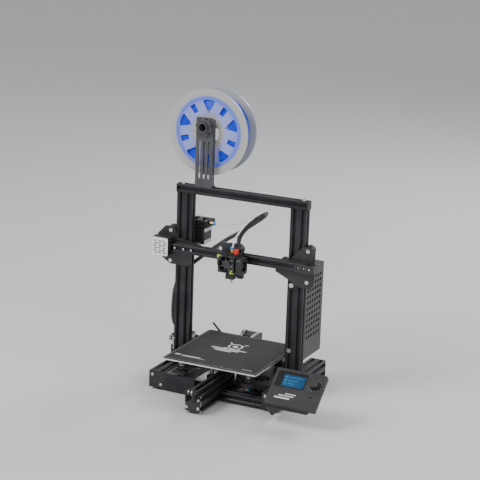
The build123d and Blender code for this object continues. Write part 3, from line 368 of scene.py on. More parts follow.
def make_materials():
    """Fills LOOK. Each call gives the material's name, its darkest and lightest colour and its roughness."""
    along_x, along_y, along_z = (0.02, 1, 1), (1, 0.02, 1), (1, 1, 0.02)
    LOOK["extrusion_x"] = anodised("anodised_x", along_x)
    LOOK["extrusion_y"] = anodised("anodised_y", along_y)
    LOOK["extrusion_z"] = anodised("anodised_z", along_z)
    LOOK["sheet"] = coated("black_coat", (0.017, 0.017, 0.019), (0.030, 0.030, 0.032))
    LOOK["supply"] = coated("supply_coat", (0.02, 0.02, 0.022), (0.036, 0.036, 0.038), grain=700.0)
    LOOK["plastic"] = moulded("black_moulding", (0.014, 0.014, 0.015), (0.026, 0.026, 0.027))
    LOOK["gloss_plastic"] = moulded("fan_moulding", (0.02, 0.02, 0.021), (0.032, 0.032, 0.034), (0.26, 0.4))
    LOOK["fan_blade"] = moulded("fan_blade", (0.05, 0.05, 0.052), (0.075, 0.075, 0.078), (0.3, 0.42))
    LOOK["rubber"] = moulded("foot_rubber", (0.012, 0.012, 0.012), (0.022, 0.022, 0.022), (0.6, 0.8), 600.0)
    LOOK["belt"] = moulded("belt_rubber", (0.012, 0.012, 0.012), (0.025, 0.025, 0.025), (0.55, 0.75), 900.0)
    LOOK["wheel"] = moulded("wheel_moulding", (0.02, 0.02, 0.02), (0.04, 0.04, 0.04), (0.3, 0.45))
    LOOK["screw"] = metal("screw_zinc", (0.50, 0.51, 0.53), (0.66, 0.67, 0.69))
    LOOK["dark_screw"] = metal("screw_black_oxide", (0.05, 0.05, 0.055), (0.10, 0.10, 0.11), (0.3, 0.45))
    LOOK["steel"] = metal("ground_steel", (0.52, 0.53, 0.55), (0.70, 0.71, 0.73), (0.14, 0.3), (1, 1, 0.05))
    LOOK["cast"] = metal("motor_cap", (0.48, 0.49, 0.50), (0.62, 0.63, 0.64), (0.36, 0.5))
    LOOK["cut"] = metal("cut_aluminium", (0.60, 0.61, 0.62), (0.75, 0.76, 0.77), (0.24, 0.4), (0.04, 1, 1))
    LOOK["aluminium"] = metal("plain_aluminium", (0.66, 0.67, 0.68), (0.80, 0.81, 0.82), (0.2, 0.36),
                              (0.05, 1, 1))
    LOOK["plate_edge"] = metal("milled_edge", (0.88, 0.89, 0.90), (0.96, 0.96, 0.97), (0.34, 0.46),
                               (0.05, 0.05, 1))
    LOOK["brass"] = metal("turned_brass", (0.66, 0.44, 0.13), (0.85, 0.62, 0.24), (0.16, 0.3))
    LOOK["core_z"] = laminated("motor_stack_z", "Z")
    LOOK["core_y"] = laminated("motor_stack_y", "Y")
    LOOK["core_x"] = laminated("motor_stack_x", "X")
    LOOK["mat"] = mat_material()
    LOOK["sleeve"] = sleeve_material()
    LOOK["sleeve_smooth"] = moulded("cable_jacket", (0.016, 0.012, 0.012), (0.035, 0.022, 0.022), (0.4, 0.55))
    LOOK["ptfe"] = ptfe_material()
    LOOK["board"] = circuit_material()
    LOOK["spool"] = spool_material()
    LOOK["bracket"] = coated("bracket_coat", (0.05, 0.05, 0.054), (0.075, 0.075, 0.08))
    LOOK["filament"] = moulded("blue_filament", (0.0, 0.035, 0.66), (0.002, 0.07, 0.90), (0.24, 0.38), 500.0)
    LOOK["clip_blue"] = moulded("blue_clip", (0.01, 0.20, 0.55), (0.02, 0.28, 0.70), (0.3, 0.42))
    LOOK["red"] = moulded("red_plug", (0.55, 0.015, 0.012), (0.70, 0.03, 0.02), (0.28, 0.4))
    LOOK["lime"] = moulded("lime_plug", (0.45, 0.60, 0.02), (0.62, 0.78, 0.06), (0.28, 0.4))
    LOOK["orange"] = moulded("orange_plug", (0.62, 0.16, 0.02), (0.80, 0.24, 0.03), (0.35, 0.5))
    LOOK["print_white"] = moulded("printed_white", (0.62, 0.63, 0.64), (0.76, 0.77, 0.78), (0.45, 0.6))
    LOOK["print_grey"] = moulded("printed_grey", (0.30, 0.31, 0.32), (0.40, 0.41, 0.42), (0.45, 0.6))
    LOOK["tag_ink"] = moulded("tag_ink", (0.10, 0.10, 0.11), (0.16, 0.16, 0.17), (0.5, 0.65))
    LOOK["label"] = moulded("paper_label", (0.74, 0.75, 0.76), (0.84, 0.85, 0.86), (0.5, 0.65))
    LOOK["silicone"] = moulded("silicone_sock", (0.02, 0.02, 0.021), (0.04, 0.04, 0.042), (0.5, 0.65))
    LOOK["lcd"] = lcd_material()
    LOOK["bezel"] = moulded("display_bezel", (0.006, 0.006, 0.007), (0.010, 0.010, 0.011), (0.12, 0.22))
    LOOK["lcd_ink"] = moulded("lcd_ink", (0.03, 0.16, 0.30), (0.05, 0.20, 0.36), (0.3, 0.4))


def dress(name, look, *rules):
    """Gives a CAD node its material. Each rule is (material, test), and a face whose centre (mm from
    the portal's middle) and normal pass the test takes that material instead."""
    thing = NODES[name]
    mesh = thing.data
    mesh.materials.clear()
    mesh.materials.append(LOOK[look])
    count = len(mesh.polygons)
    centres = np.zeros(count * 3)
    normals = np.zeros(count * 3)
    mesh.polygons.foreach_get("center", centres)
    mesh.polygons.foreach_get("normal", normals)
    centres = local(centres.reshape(-1, 3))
    normals = normals.reshape(-1, 3)
    index = np.zeros(count, np.int32)
    for number, (other, test) in enumerate(rules, 1):
        mesh.materials.append(LOOK[other])
        index[test(centres, normals)] = number
    mesh.polygons.foreach_set("material_index", index)


def beside(axis, places, radius):
    """Test: the face lies within a radius of one of several lines along an axis (0 X, 1 Y, 2 Z)."""
    rest = [k for k in range(3) if k != axis]

    def test(centres, normals):
        hit = np.zeros(len(centres), bool)
        for place in places:
            hit |= np.hypot(centres[:, rest[0]] - place[0], centres[:, rest[1]] - place[1]) < radius
        return hit
    return test


def between(axis, low, high):
    """Test: the face's centre lies between two places along an axis."""
    return lambda centres, normals: (centres[:, axis] > low) & (centres[:, axis] < high)


def facing(axis):
    """Test: the face looks along an axis, either way."""
    return lambda centres, normals: np.abs(normals[:, axis]) > 0.9


def not_facing(axis):
    """Test: the face looks mostly away from an axis."""
    return lambda centres, normals: np.abs(normals[:, axis]) < 0.5


def both(*tests):
    """Test: all the tests hold."""
    return lambda centres, normals: np.logical_and.reduce([t(centres, normals) for t in tests])


def either(*tests):
    """Test: one of the tests holds."""
    return lambda centres, normals: np.logical_or.reduce([t(centres, normals) for t in tests])


def dress_profiles():
    """Extrusions with bare cut ends."""
    for name, axis, look in (("base_side_rails", 1, "extrusion_y"), ("bed_rail", 1, "extrusion_y"),
                             ("top_beam", 0, "extrusion_x"), ("gantry_beam", 0, "extrusion_x")):
        low, high = [corner[axis] for corner in local_box(name)]
        ends = either(between(axis, low - 1, low + 0.2), between(axis, high - 0.2, high + 1))
        dress(name, look, ("cut", both(facing(axis), ends)))


def dress_plain_nodes():
    """Nodes that are one material all over."""
    looks = {
        "extrusion_x": ("base_cross_bars",),
        "extrusion_z": ("uprights",),
        "bracket": ("spool_tube", "spool_bracket"),
        "plastic": ("end_caps", "display_housing", "feeder_lever", "drive_cover", "display_knob",
                    "part_blower", "level_knob_front_left", "level_knob_front_right",
                    "level_knob_rear_left", "level_knob_rear_right"),
        "sheet": ("motor_brackets", "control_box_tray", "control_box_lid", "belt_tensioner", "bed_carriage"),
        "rubber": ("feet",),
        "screw": ("frame_screws",),
        "steel": ("encoder_stem", "bed_springs", "feeder_gear"),
        "mat": ("print_mat",),
        "red": ("switch_rocker",),
        "aluminium": ("bed_drive_pulley", "bed_idler_roller", "head_drive_pulley", "head_idler_roller"),
        "fan_blade": ("head_fan_rotor",),
        "gloss_plastic": ("blower_rotor",),
        "board": ("display_screen",),
    }
    for look, names in looks.items():
        for name in names:
            dress(name, look)


def dress_base():
    """Height switch, heated plate, main board and power supply."""
    dress("height_switch", "plastic", ("cast", between(0, -165.7, -160)),
          ("print_white", between(1, -11, -6.05)), ("screw", between(2, 90.1, 93)))
    dress("heated_plate", "aluminium", ("plate_edge", not_facing(2)))
    dress("main_board", "board", ("plastic", between(2, 20.5, 40)))
    back = local_box("power_supply")[1][1]
    socket = both(between(1, back - 3, back + 1), between(2, 85, 144))
    dress("power_supply", "supply", ("plastic", socket))


def dress_wheels():
    """Wheels with bare bolts, and the gantry's plates with the brass nut."""
    z = GANTRY_Z
    bolt, nut = 4.9, 11.2
    outer = [(side * 174.2, z + rise) for side in (-1, 1) for rise in (-36.5, 36.5)]
    inner = [(side * 113.8, z) for side in (-1, 1)]
    beam_screws = [(x, z) for x in (-155.0, -132.0, -112.0, 159.0, 172.5)]
    dress("gantry_wheels", "wheel", ("screw", beside(1, outer + inner + beam_screws, bolt)))
    on_head = [(-31, z + 20.2), (9, z + 20.2), (-11, z - 20.2)]
    dress("head_wheels", "wheel", ("screw", beside(1, on_head, bolt)))
    under_bed = [(side * 30.2, -32 + fore * 38) for side in (-1, 1) for fore in (-1, 1)]
    dress("bed_wheels", "wheel", ("screw", beside(2, under_bed, bolt)))
    dress("gantry_plates", "sheet", ("brass", beside(2, [SCREW_AXIS], nut)))


def dress_head_and_feeder():
    """Print head and feeder: dark bodies with brass fittings and blue clips."""
    dress("head_plate", "sheet", ("plastic", both(between(0, 8.5, 22.5), between(1, -55, -41.1))))
    fan_x, fan_y, fan_z = FAN_CENTRE
    fan_screws = [(fan_x + x, fan_z + rise) for x in (-16, 16) for rise in (-16, 16)]
    dress("head_shroud", "plastic", ("gloss_plastic", between(1, fan_y - 2, -70.1)),
          ("dark_screw", beside(1, fan_screws, 3.1)))
    dress("hot_end", "cut", ("silicone", between(2, 273.9, 286.1)), ("brass", between(2, 262, 273.9)),
          ("brass", between(2, 324.5, 343.9)), ("clip_blue", between(2, 343.9, 349)))
    dress("feeder_body", "plastic", ("brass", both(between(0, -99.8, -90.1), between(1, 32, 41))),
          ("clip_blue", between(0, -90.1, -80)), ("steel", beside(2, [(-106, 28)], 2.2)))


def dress_motors():
    """Motors: dark stacks between two cast caps, given by axis and lowest place along it."""
    motor, cap, lip = 40.0, 9.0, 3.0
    for name, look, axis, low in (("lead_screw_motor", "core_z", 2, 48.0), ("head_motor", "core_y", 1, -11.5),
                                  ("bed_motor", "core_x", 0, -63.0)):
        high = low + motor
        caps = either(between(axis, high - cap, high + lip), between(axis, low - lip, low + cap))
        dress(name, look, ("cast", caps))
    # The feeder motor's caps show only on its faces looking along X; its faces looking along Y stay dark all
    # over.
    side = both(facing(0), either(between(2, 348.0, 357.5), between(2, 316.0, 328.0)))
    dress("feeder_motor", "core_z", ("cast", side))


def dress_spool():
    """The bore and the sleeve's inside take black plastic as painted shade of the hollow; the rest takes its
    colour from the distance to the axis.
    """
    near = beside(1, [(SPOOL_CENTRE[0], SPOOL_CENTRE[2])], 29.0)
    # Black plastic on the bore's inside faces is painted shade, not the spool's own colour.
    dress("spool", "spool", ("plastic", both(near, not_facing(1))))


def dress_cad():
    """Materials of the CAD nodes that are shown as they are."""
    dress_profiles()
    dress_plain_nodes()
    dress_base()
    dress_wheels()
    dress_head_and_feeder()
    dress_motors()
    dress_spool()


# ---------------- mesh helpers
def add_mesh(name, vertices, faces, look, body, slot=None, smooth=True, uvs=None):
    """A new piece in the row frame that rides on a body."""
    mesh = bpy.data.meshes.new(name)
    mesh.from_pydata([tuple(v) for v in vertices], [], faces)
    mesh.materials.append(LOOK[look])
    if uvs is not None:
        layer = mesh.uv_layers.new(name="UVMap")
        for loop in mesh.loops:
            layer.data[loop.index].uv = uvs[loop.vertex_index]
    shape = bmesh.new()
    shape.from_mesh(mesh)
    bmesh.ops.recalc_face_normals(shape, faces=shape.faces)
    shape.to_mesh(mesh)
    shape.free()
    mesh.polygons.foreach_set("use_smooth", [smooth] * len(mesh.polygons))
    mesh.update()
    piece = bpy.data.objects.new(name, mesh)
    bpy.context.scene.collection.objects.link(piece)
    if body:
        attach(piece, body)
    return piece


def join_parts(parts):
    """Joins (vertices, faces) pairs into one."""
    vertices = []
    faces = []
    for points, polygons in parts:
        start = len(vertices)
        vertices.extend(points)
        faces.extend([tuple(start + i for i in polygon) for polygon in polygons])
    return vertices, faces


def ring_faces(rings, sides, joined=False, round_ring=True):
    """Faces between rings of points that follow each other. joined also joins the last ring to the
    first, and round_ring joins each ring's last point to its first."""
    faces = []
    for k in range(rings if joined else rings - 1):
        after = (k + 1) % rings
        for i in range(sides if round_ring else sides - 1):
            j = (i + 1) % sides
            faces.append((k * sides + i, k * sides + j, after * sides + j, after * sides + i))
    return faces


def tube_faces(rings, sides):
    """Faces between a tube's rings of points, and its two flat ends."""
    ends = [tuple(reversed(range(sides))), tuple(range((rings - 1) * sides, rings * sides))]
    return ring_faces(rings, sides) + ends


def prism(ring, z0, z1):
    """A flat outline in X and Y (mm) raised from z0 to z1."""
    return [at(x, y, z) for z in (z0, z1) for x, y in ring], tube_faces(2, len(ring))


def upright_prism(ring, y0, y1):
    """A flat outline in X and Z (mm) carried from y0 to y1."""
    return [at(x, y, z) for y in (y0, y1) for x, z in ring], tube_faces(2, len(ring))


def brick(low, high):
    """A box between two corners in millimetres."""
    x0, y0, z0 = low
    x1, y1, z1 = high
    return prism([(x0, y0), (x1, y0), (x1, y1), (x0, y1)], z0, z1)


def outline_bricks(x0, x1, y0, y1, line, z0, z1):
    """Four bricks that draw a rectangle's outline, a line wide."""
    return [brick((x0, y0, z0), (x1, y0 + line, z1)), brick((x0, y1 - line, z0), (x1, y1, z1)),
            brick((x0, y0 + line, z0), (x0 + line, y1 - line, z1)),
            brick((x1 - line, y0 + line, z0), (x1, y1 - line, z1))]


def lathe(profile, centre, axis, steps, closed=True):
    """Turns (radius, height) pairs in millimetres about an axis (0 X, 1 Y, 2 Z) through a centre."""
    rest = [k for k in range(3) if k != axis]
    points = []
    for i in range(steps):
        angle = 2 * math.pi * i / steps
        for radius, height in profile:
            offset = [0.0, 0.0, 0.0]
            offset[axis] = height
            offset[rest[0]] = radius * math.cos(angle)
            offset[rest[1]] = radius * math.sin(angle)
            points.append(at(centre[0] + offset[0], centre[1] + offset[1], centre[2] + offset[2]))
    return points, ring_faces(steps, len(profile), joined=True, round_ring=closed)


def sweep_tube(path, radius, sides, ripple=None):
    """A tube along points, with frames carried along so that it doesn't twist. Returns vertices, faces
    and coordinates: distance along the path in metres and share round it."""
    path = [Vector(p) for p in path]
    tangents = []
    for k in range(len(path)):
        before = path[max(k - 1, 0)]
        after = path[min(k + 1, len(path) - 1)]
        tangents.append((after - before).normalized())
    side = tangents[0].orthogonal().normalized()
    points = []
    uvs = []
    along = 0.0
    for k, (place, forward) in enumerate(zip(path, tangents)):
        if k:
            along += (place - path[k - 1]).length
            turn = tangents[k - 1].rotation_difference(forward)
            side = (turn @ side).normalized()
        other = forward.cross(side)
        for i in range(sides):
            angle = 2 * math.pi * i / sides
            wide = radius * (1.0 + (ripple(along, angle) if ripple else 0.0))
            points.append(place + (side * math.cos(angle) + other * math.sin(angle)) * wide)
            uvs.append((along, i / sides))
    return points, tube_faces(len(path), sides), uvs


# ---------------- tube and cables
CABLE_JOIN = (-100, 19, 299)
TUBE_ROUTE = [(-89.5, 36.6, 369.5), (-60, 36.6, 370.5), (-30, 31, 378), (-3, 23, 389), (24, 14, 404),
              (48, 4, 421), (68, -8, 434), (81, -24, 441), (82, -46, 443), (68, -60, 434), (52, -59, 421),
              (37, -59, 406), (23, -58, 387), (10, -58, 366), (6, -58, 345)]
HEAD_CABLE_ROUTE = [(16, -47.5, 353), (16, -47.5, 374), (30, -47.5, 398), (46, -47, 413), (62, -30, 424),
                    (62, -2, 422), (47, 19, 408), (14, 20, 383), (-14, 20, 362), (-53, 19, 338), CABLE_JOIN]
GANTRY_CABLE_ROUTE = [CABLE_JOIN, (-135, 19, 270), (-165, 20, 240), (-180, 21, 205), (-184, 22, 167),
                      (-188, 29, 134), (-194, 48, 103), (-181, 68, 84), (-156, 78, 73), (-131, 84, 64),
                      (-115, 85, 50), (-110, 84, 31)]
TUBE_WIDTH = 0.004
CABLE_WIDTH = 0.009


def spline_points(route, density):
    """Points along the smooth spline that has the route's points as its control points."""
    data = bpy.data.curves.new("route", "CURVE")
    data.dimensions = "3D"
    data.resolution_u = density
    spline = data.splines.new("NURBS")
    spline.points.add(len(route) - 1)
    for point, place in zip(spline.points, route):
        point.co = (*at(*place), 1.0)
    spline.order_u = 3
    spline.use_endpoint_u = True
    thing = bpy.data.objects.new("route", data)
    bpy.context.scene.collection.objects.link(thing)
    bpy.context.view_layer.update()
    mesh = bpy.data.meshes.new_from_object(thing)
    points = [v.co.copy() for v in mesh.vertices]
    bpy.data.objects.remove(thing)
    bpy.data.meshes.remove(mesh)
    return points


def braid(along, angle):
    """Slight diamonds of a braided sleeve, as a share of its radius."""
    height, spacing, strands = 0.035, 900.0, 4
    lean, back = along * spacing + strands * angle, along * spacing - strands * angle
    return height * abs(math.sin(lean)) * abs(math.sin(back))


def make_cord(name, route, width, sides, look, slot_name, ripple=None):
    """A cord's skin along its route. A rippled skin takes more rings."""
    path = spline_points(route, 16 if ripple is None else 40)
    points, faces, uvs = sweep_tube(path, width / 2, sides, ripple)
    cord = add_mesh(name, points, faces, look, None, slot_name, uvs=uvs)
    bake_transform(cord)
    return cord, path


def zip_tie(path, share, radius, width):
    """A zip tie round a cable at a share of its length: a band and its lock, whose sizes are shares
    of the cable's radius and of the band's width."""
    thick = 1.16
    lock_top, lock_half, lock_reach = 1.55, 0.42, 1.3
    index = int(share * (len(path) - 1))
    here = path[index]
    forward = (path[min(index + 2, len(path) - 1)] - path[max(index - 2, 0)]).normalized()
    side = forward.orthogonal().normalized()
    other = forward.cross(side)
    steps = 20
    points = []
    for i in range(steps):
        angle = 2 * math.pi * i / steps
        out = side * math.cos(angle) + other * math.sin(angle)
        for reach, shift in ((1, -width), (thick, -width), (thick, width), (1, width)):
            points.append(here + out * (radius * reach) + forward * shift)
    lock = []
    for a in (-lock_half, lock_half):
        for b, c in ((1, -lock_reach), (1, lock_reach), (lock_top, lock_reach), (lock_top, -lock_reach)):
            lock.append(here + (side * b + other * a) * radius + forward * (width * c))
    return join_parts([(points, ring_faces(steps, 4, joined=True)), (lock, tube_faces(2, 4))])


def make_second_strand(path):
    """Thinner strand beside the first half of the head's cable, swelling out from it and back in."""
    offset = Vector((0.0050, -0.002, -0.0056))
    radius, share, fullness = 0.0036, 0.52, 0.7
    reach = int(share * len(path))
    strand = []
    for k in range(0, reach, 4):
        swell = math.sin(math.pi * min(1.0, k / (reach - 4.0))) ** fullness
        strand.append(path[k] + offset * swell)
    points, faces, uvs = sweep_tube(strand, radius, 16)
    second = add_mesh("head_cable_second_strand", points, faces, "sleeve_smooth", None, "cable_sleeve",
                      uvs=uvs)
    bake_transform(second)
    return second


def make_ties(path):
    """Three zip ties on the head's cable."""
    ties = [zip_tie(path, share, CABLE_WIDTH / 2 * 1.05, 0.0012) for share in (0.1, 0.33, 0.5)]
    bands = add_mesh("cable_ties", *join_parts(ties), "plastic", None, "black_plastic", smooth=False)
    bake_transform(bands)
    return bands


def make_cords():
    """Filament tube, the head's cable with what is on it, and the gantry's cable."""
    tube, tube_path = make_cord("filament_tube_skin", TUBE_ROUTE, TUBE_WIDTH, 16, "ptfe", "tube_white")
    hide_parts("filament_tube")

    loom, loom_path = make_cord("head_cable_sleeve", HEAD_CABLE_ROUTE, CABLE_WIDTH, 24, "sleeve",
                                "cable_sleeve", braid)
    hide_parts("head_cable")
    second = make_second_strand(loom_path)
    bands = make_ties(loom_path)

    lower, lower_path = make_cord("gantry_cable_sleeve", GANTRY_CABLE_ROUTE, CABLE_WIDTH, 24, "sleeve",
                                  "cable_sleeve",
                                  braid)
    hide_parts("gantry_cable")


# ---------------- filament, lead screw and belts
def make_winding():
    """Wound filament: rows of round strand on the outside and in the side faces."""
    strand = 1.75
    bulge = 0.4 * strand
    inner, outer, half = 50.4, 83.2, 20.2
    profile = []
    rows = int((outer - inner) / strand)
    columns = int(2 * half / strand)
    arc = 5

    def bumps(count, place):
        for k in range(count):
            for i in range(arc):
                turn = math.pi * i / (arc - 1)
                profile.append(place(k + 0.5 - 0.5 * math.cos(turn), math.sin(turn)))

    bumps(columns, lambda step, rise: (outer + bulge * rise, -half + step * strand))
    bumps(rows, lambda step, rise: (outer - step * strand, half + bulge * rise))
    bumps(1, lambda step, rise: (inner, half - 2 * half * step))
    bumps(rows, lambda step, rise: (inner + step * strand, -half - bulge * rise))
    points, faces = lathe(profile, SPOOL_CENTRE, 1, 120)
    winding = add_mesh("filament_winding", points, faces, "filament", "spool", "filament_blue")
    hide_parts("filament")


def make_lead_screw():
    """Threaded rod with four starts of 2 mm pitch, so 8 mm of lead, its motor's shaft and the coupling."""
    x, y = SCREW_AXIS
    low, high = 106.0, 438.0
    pitch, lead, crest, deepest = 2.0, 8.0, 3.98, 0.62
    chamfer, least = 0.8, 0.2
    step = 0.5
    sides = 24
    rings = int((high - low) / step) + 1
    points = []
    for k in range(rings):
        z = low + step * k
        for i in range(sides):
            angle = 2 * math.pi * i / sides
            phase = ((z - lead * i / sides) / pitch) % 1.0
            depth = deepest * min(1.0, max(0.0, 4.4 * abs(phase - 0.5) - 0.6))
            fade = min(1.0, high - z, z - low + least)
            radius = crest - depth - (1.0 - max(least, fade)) * chamfer
            points.append(at(x + radius * math.cos(angle), y + radius * math.sin(angle), z))
    rod = (points, tube_faces(rings, sides))
    shaft = lathe([(0.01, 78.0), (2.5, 78.0), (2.5, 95.0), (0.01, 95.0)], (x, y, 0), 2, 24, False)
    clamp = lathe([(3.9, 94.0), (8.9, 94.0), (9.5, 94.6), (9.5, 102.4), (8.8, 103.0), (8.8, 104.0),
                   (9.5, 104.6), (9.5, 108.4), (8.8, 109.0), (8.8, 110.0), (9.5, 110.6), (9.5, 118.4),
                   (8.9, 119.0), (3.9, 119.0)], (x, y, 0), 2, 40)
    screw = add_mesh("lead_screw_rod", *join_parts([rod, shaft]), "steel", "lead_screw", "lead_steel")
    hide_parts("lead_screw")
    add_mesh("lead_screw_coupling", *clamp, "cut", "lead_screw", "lead_steel", smooth=False)


def make_belt(name, node_name, along, across, middle, half, centre_z, body):
    """Toothed belt: a flat band round two pulleys with teeth of 2 mm pitch on its inner side.
    along is the axis that its straight runs follow and across is its width's axis (0 X, 1 Y),
    middle is its middle's X and Y, and half is half of a straight run."""
    inner, outer, wide = 6.75, 7.4, 3.0
    pitch, tooth_width, tooth_height, step = 2.0, 1.0, 0.62, 0.5
    straight = 2 * half
    bend = math.pi * inner
    total = 2 * straight + 2 * bend
    count = int(total / step)
    points = []
    for k in range(count):
        s = total * k / count
        tooth = tooth_height if (s % pitch) < tooth_width else 0.0
        if s < straight:
            shift, angle = -half + s, math.pi / 2
        elif s < straight + bend:
            shift, angle = half, math.pi / 2 - (s - straight) / inner
        elif s < 2 * straight + bend:
            shift, angle = half - (s - straight - bend), -math.pi / 2
        else:
            shift, angle = -half, -math.pi / 2 - (s - 2 * straight - bend) / inner
        for radius, side in ((outer, -wide), (outer, wide), (inner - tooth, wide), (inner - tooth, -wide)):
            place = [0.0, 0.0, centre_z + radius * math.sin(angle)]
            place[along] = middle[along] + shift + radius * math.cos(angle)
            place[across] = middle[across] + side
            points.append(at(*place))
    faces = ring_faces(count, 4, joined=True)
    belt = add_mesh(name, points, faces, "belt", body, "belt_rubber", smooth=False)
    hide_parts(node_name)


# ---------------- marks and labels
def flat_ring(cx, cy, outer, inner, z, thick, steps=48):
    """A printed ring lying flat."""
    return lathe([(inner, z), (outer, z), (outer, z + thick), (inner, z + thick)], (cx, cy, 0), 2, steps)


def leaning_bar(x, y, length, height, lean, z, thick):
    """A printed bar whose far edge is shifted sideways by its lean."""
    ring = [(x, y), (x + length, y), (x + length + lean, y + height), (x + lean, y + height)]
    return prism(ring, z, z + thick)


def make_mat_marks():
    """Generic marks on the mat: a round target over leaning bars, plain lines, a scale and a border."""
    top = local_box("print_mat")[1][2]
    thick = 0.12
    x, y = -6.0, 2.0
    white = [flat_ring(x, y, 18.0, 14.4, top, thick), flat_ring(x, y, 6.5, 0.2, top, thick, 32)]
    ray = [(20.5, -1.6), (33.0, -1.6), (33.0, 1.6), (20.5, 1.6)]
    for k in range(4):
        angle = math.radians(45 + 90 * k)
        c, s = math.cos(angle), math.sin(angle)
        white.append(prism([(x + a * c - b * s, y + a * s + b * c) for a, b in ray], top, top + thick))
    bars = [(-58 + 8 * k, y - 26 - 8 * k, 88 - 24 * k, 4.6, 4) for k in range(3)]
    bars += [(-106, -115, 13, 6.4, 3), (-87, -115, 47, 3.6, 2), (-87, -119.4, 61, 1.2, 0)]
    bars += [(76, -132, 24, 1.4, 0)]
    bars += [(-50.35 + 10 * k, -144.5, 0.7, 2.5, 0) for k in range(11)]
    for bar in bars:
        white.append(leaning_bar(*bar, top, thick))
    add_mesh("mat_marks", *join_parts(white), "print_white", "bed", "mat_surface", smooth=False)
    middle_y, reach = -32.0, 114.5
    rim = outline_bricks(-reach, reach, middle_y - reach, middle_y + reach, 0.6, top, top + thick)
    add_mesh("mat_border", *join_parts(rim), "print_grey", "bed", "mat_surface", smooth=False)


def make_tag():
    """Label round the front of the drive cover: white, with rows of plain grey bars."""
    low, high = local_box("drive_cover")
    wrap, thick, ink, margin, corner = 0.8, 1.0, 0.15, 0.6, 4.0
    back = low[1] + wrap
    front = back - thick
    x0, x1, z0, z1 = low[0] + margin, high[0] - margin, low[2] + margin, high[2] - margin
    ring = []
    for cx, cz, turn in ((x1 - corner, z1 - corner, 0), (x0 + corner, z1 - corner, 1),
                         (x0 + corner, z0 + corner, 2), (x1 - corner, z0 + corner, 3)):
        for k in range(5):
            angle = math.pi / 2 * (turn + k / 4)
            ring.append((cx + corner * math.cos(angle), cz + corner * math.sin(angle)))
    add_mesh("cover_tag", *upright_prism(ring, back, front), "label", "gantry", "tube_white", smooth=False)
    lines = []
    for row in range(6):
        z = z1 - 8.0 - 5.6 * row
        for column in range(3):
            x = x0 + 6.5 + 11.0 * column + (2.0 if (row + column) % 2 else 0.0)
            length = 6.5 + (row * column) % 3
            lines.append(brick((x, front - ink, z - 1.5), (x + length, front, z + 1.5)))
    add_mesh("cover_tag_print", *join_parts(lines), "tag_ink", "gantry", "tube_white", smooth=False)


# ---------------- small pieces
def soften(piece, edge):
    """Rounds the edges of a piece by some millimetres."""
    bevel = piece.modifiers.new("edges", "BEVEL")
    bevel.width = edge * MM
    bevel.segments = 3


def rounded_slab(name, low, high, edge, look, body, slot_name):
    """A block with rounded edges."""
    soften(add_mesh(name, *brick(low, high), look, body, slot_name, smooth=False), edge)


def bezier_points(route, count):
    """Points on the curve that the route's four points steer."""
    a, b, c, d = [Vector(p) for p in route]
    found = []
    for k in range(count + 1):
        t = k / count
        found.append(a * (1 - t) ** 3 + b * 3 * t * (1 - t) ** 2 + c * 3 * t * t * (1 - t) + d * t ** 3)
    return found


def make_bay_lid():
    """Thin lid over the front of the left bay, with a light outline that is a painted highlight of a sheet's
    edges, and a plain white label.
    """
    top, thick, line, ink = 44.0, 1.4, 0.9, 0.15
    rounded_slab("bay_lid", (-123.6, -124.9, top - thick), (-46.6, -48.0, top), 0.4, "sheet", "frame",
                 "black_sheet")
    # The white outline is a painted highlight of a lying sheet's edges; the brick added after it is a plain
    # white label.
    lid_highlight_and_label = outline_bricks(-119.0, -78.0, -121.0, -62.0, line, top, top + ink)
    lid_highlight_and_label.append(brick((-84.0, -60.0, top), (-68.0, -50.0, top + 0.2)))
    add_mesh("bay_lid_highlight_and_label", *join_parts(lid_highlight_and_label), "print_white", "frame", "tube_white", smooth=False)


def make_box_plugs():
    """Small coloured plugs and their leads on the front of the control box."""
    y, wide, deep, low, high = -83.0, 4.8, 3.6, 24.0, 28.4
    plugs = (("orange", 56.0), ("board", 50.5), ("label", 64.5), ("clip_blue", 70.0))
    leads = []
    for k, (look, x) in enumerate(plugs):
        name = "box_plug_%d" % (k + 1)
        rounded_slab(name, (x, y - deep, low), (x + wide, y, high), 0.5, look, "frame", "board_green")
        for side in (1.4, 3.4):
            route = [at(x + side, y - 3.4, 26.2), at(x + side, y - 8.0, 27.0), at(40.0 + k, y - 10.0, 16.0),
                     at(30.0 + k, y - 6.0, 9.0)]
            leads.append(sweep_tube(bezier_points(route, 12), 0.0006, 8)[:2])
    add_mesh("box_leads", *join_parts(leads), "print_grey", "frame", "cable_sleeve")


def make_bed_guide():
    """Black guide for a lead at the bed's rear left corner: a foot and a leaning arm."""
    rounded_slab("bed_guide_foot", (-116.0, 85.6, 86.4), (-84.0, 90.4, 90.6), 0.8, "plastic", "bed",
                 "black_plastic")
    outline = [(-92.0, 89.6), (-85.0, 89.6), (-106.0, 110.0), (-112.0, 110.0)]
    arm = add_mesh("bed_guide_arm", *upright_prism(outline, 86.4, 89.6), "plastic", "bed", "black_plastic",
                   smooth=False)
    soften(arm, 0.8)


def make_heater_plug():
    """Red plug on top of the print head, with four leads that bend back to the cable's clip."""
    rounded_slab("heater_plug", (13.5, -69.0, 335.0), (22.5, -58.5, 347.0), 1.2, "red", "head", "switch_red")
    leads = []
    for x, rise in ((14.8, 7.0), (17.2, 9.0), (19.6, 8.0), (21.4, 6.0)):
        route = [at(x, -62.0, 346.0), at(x + 0.5, -60.0, 346.0 + rise), at(x + 1.0, -55.5, 347.0 + rise),
                 at(16.0 + (x - 18) * 0.4, -50.5, 352.0)]
        leads.append(sweep_tube(bezier_points(route, 14), 0.0007, 8)[:2])
    add_mesh("plug_leads", *join_parts(leads), "plastic", "head", "black_plastic")


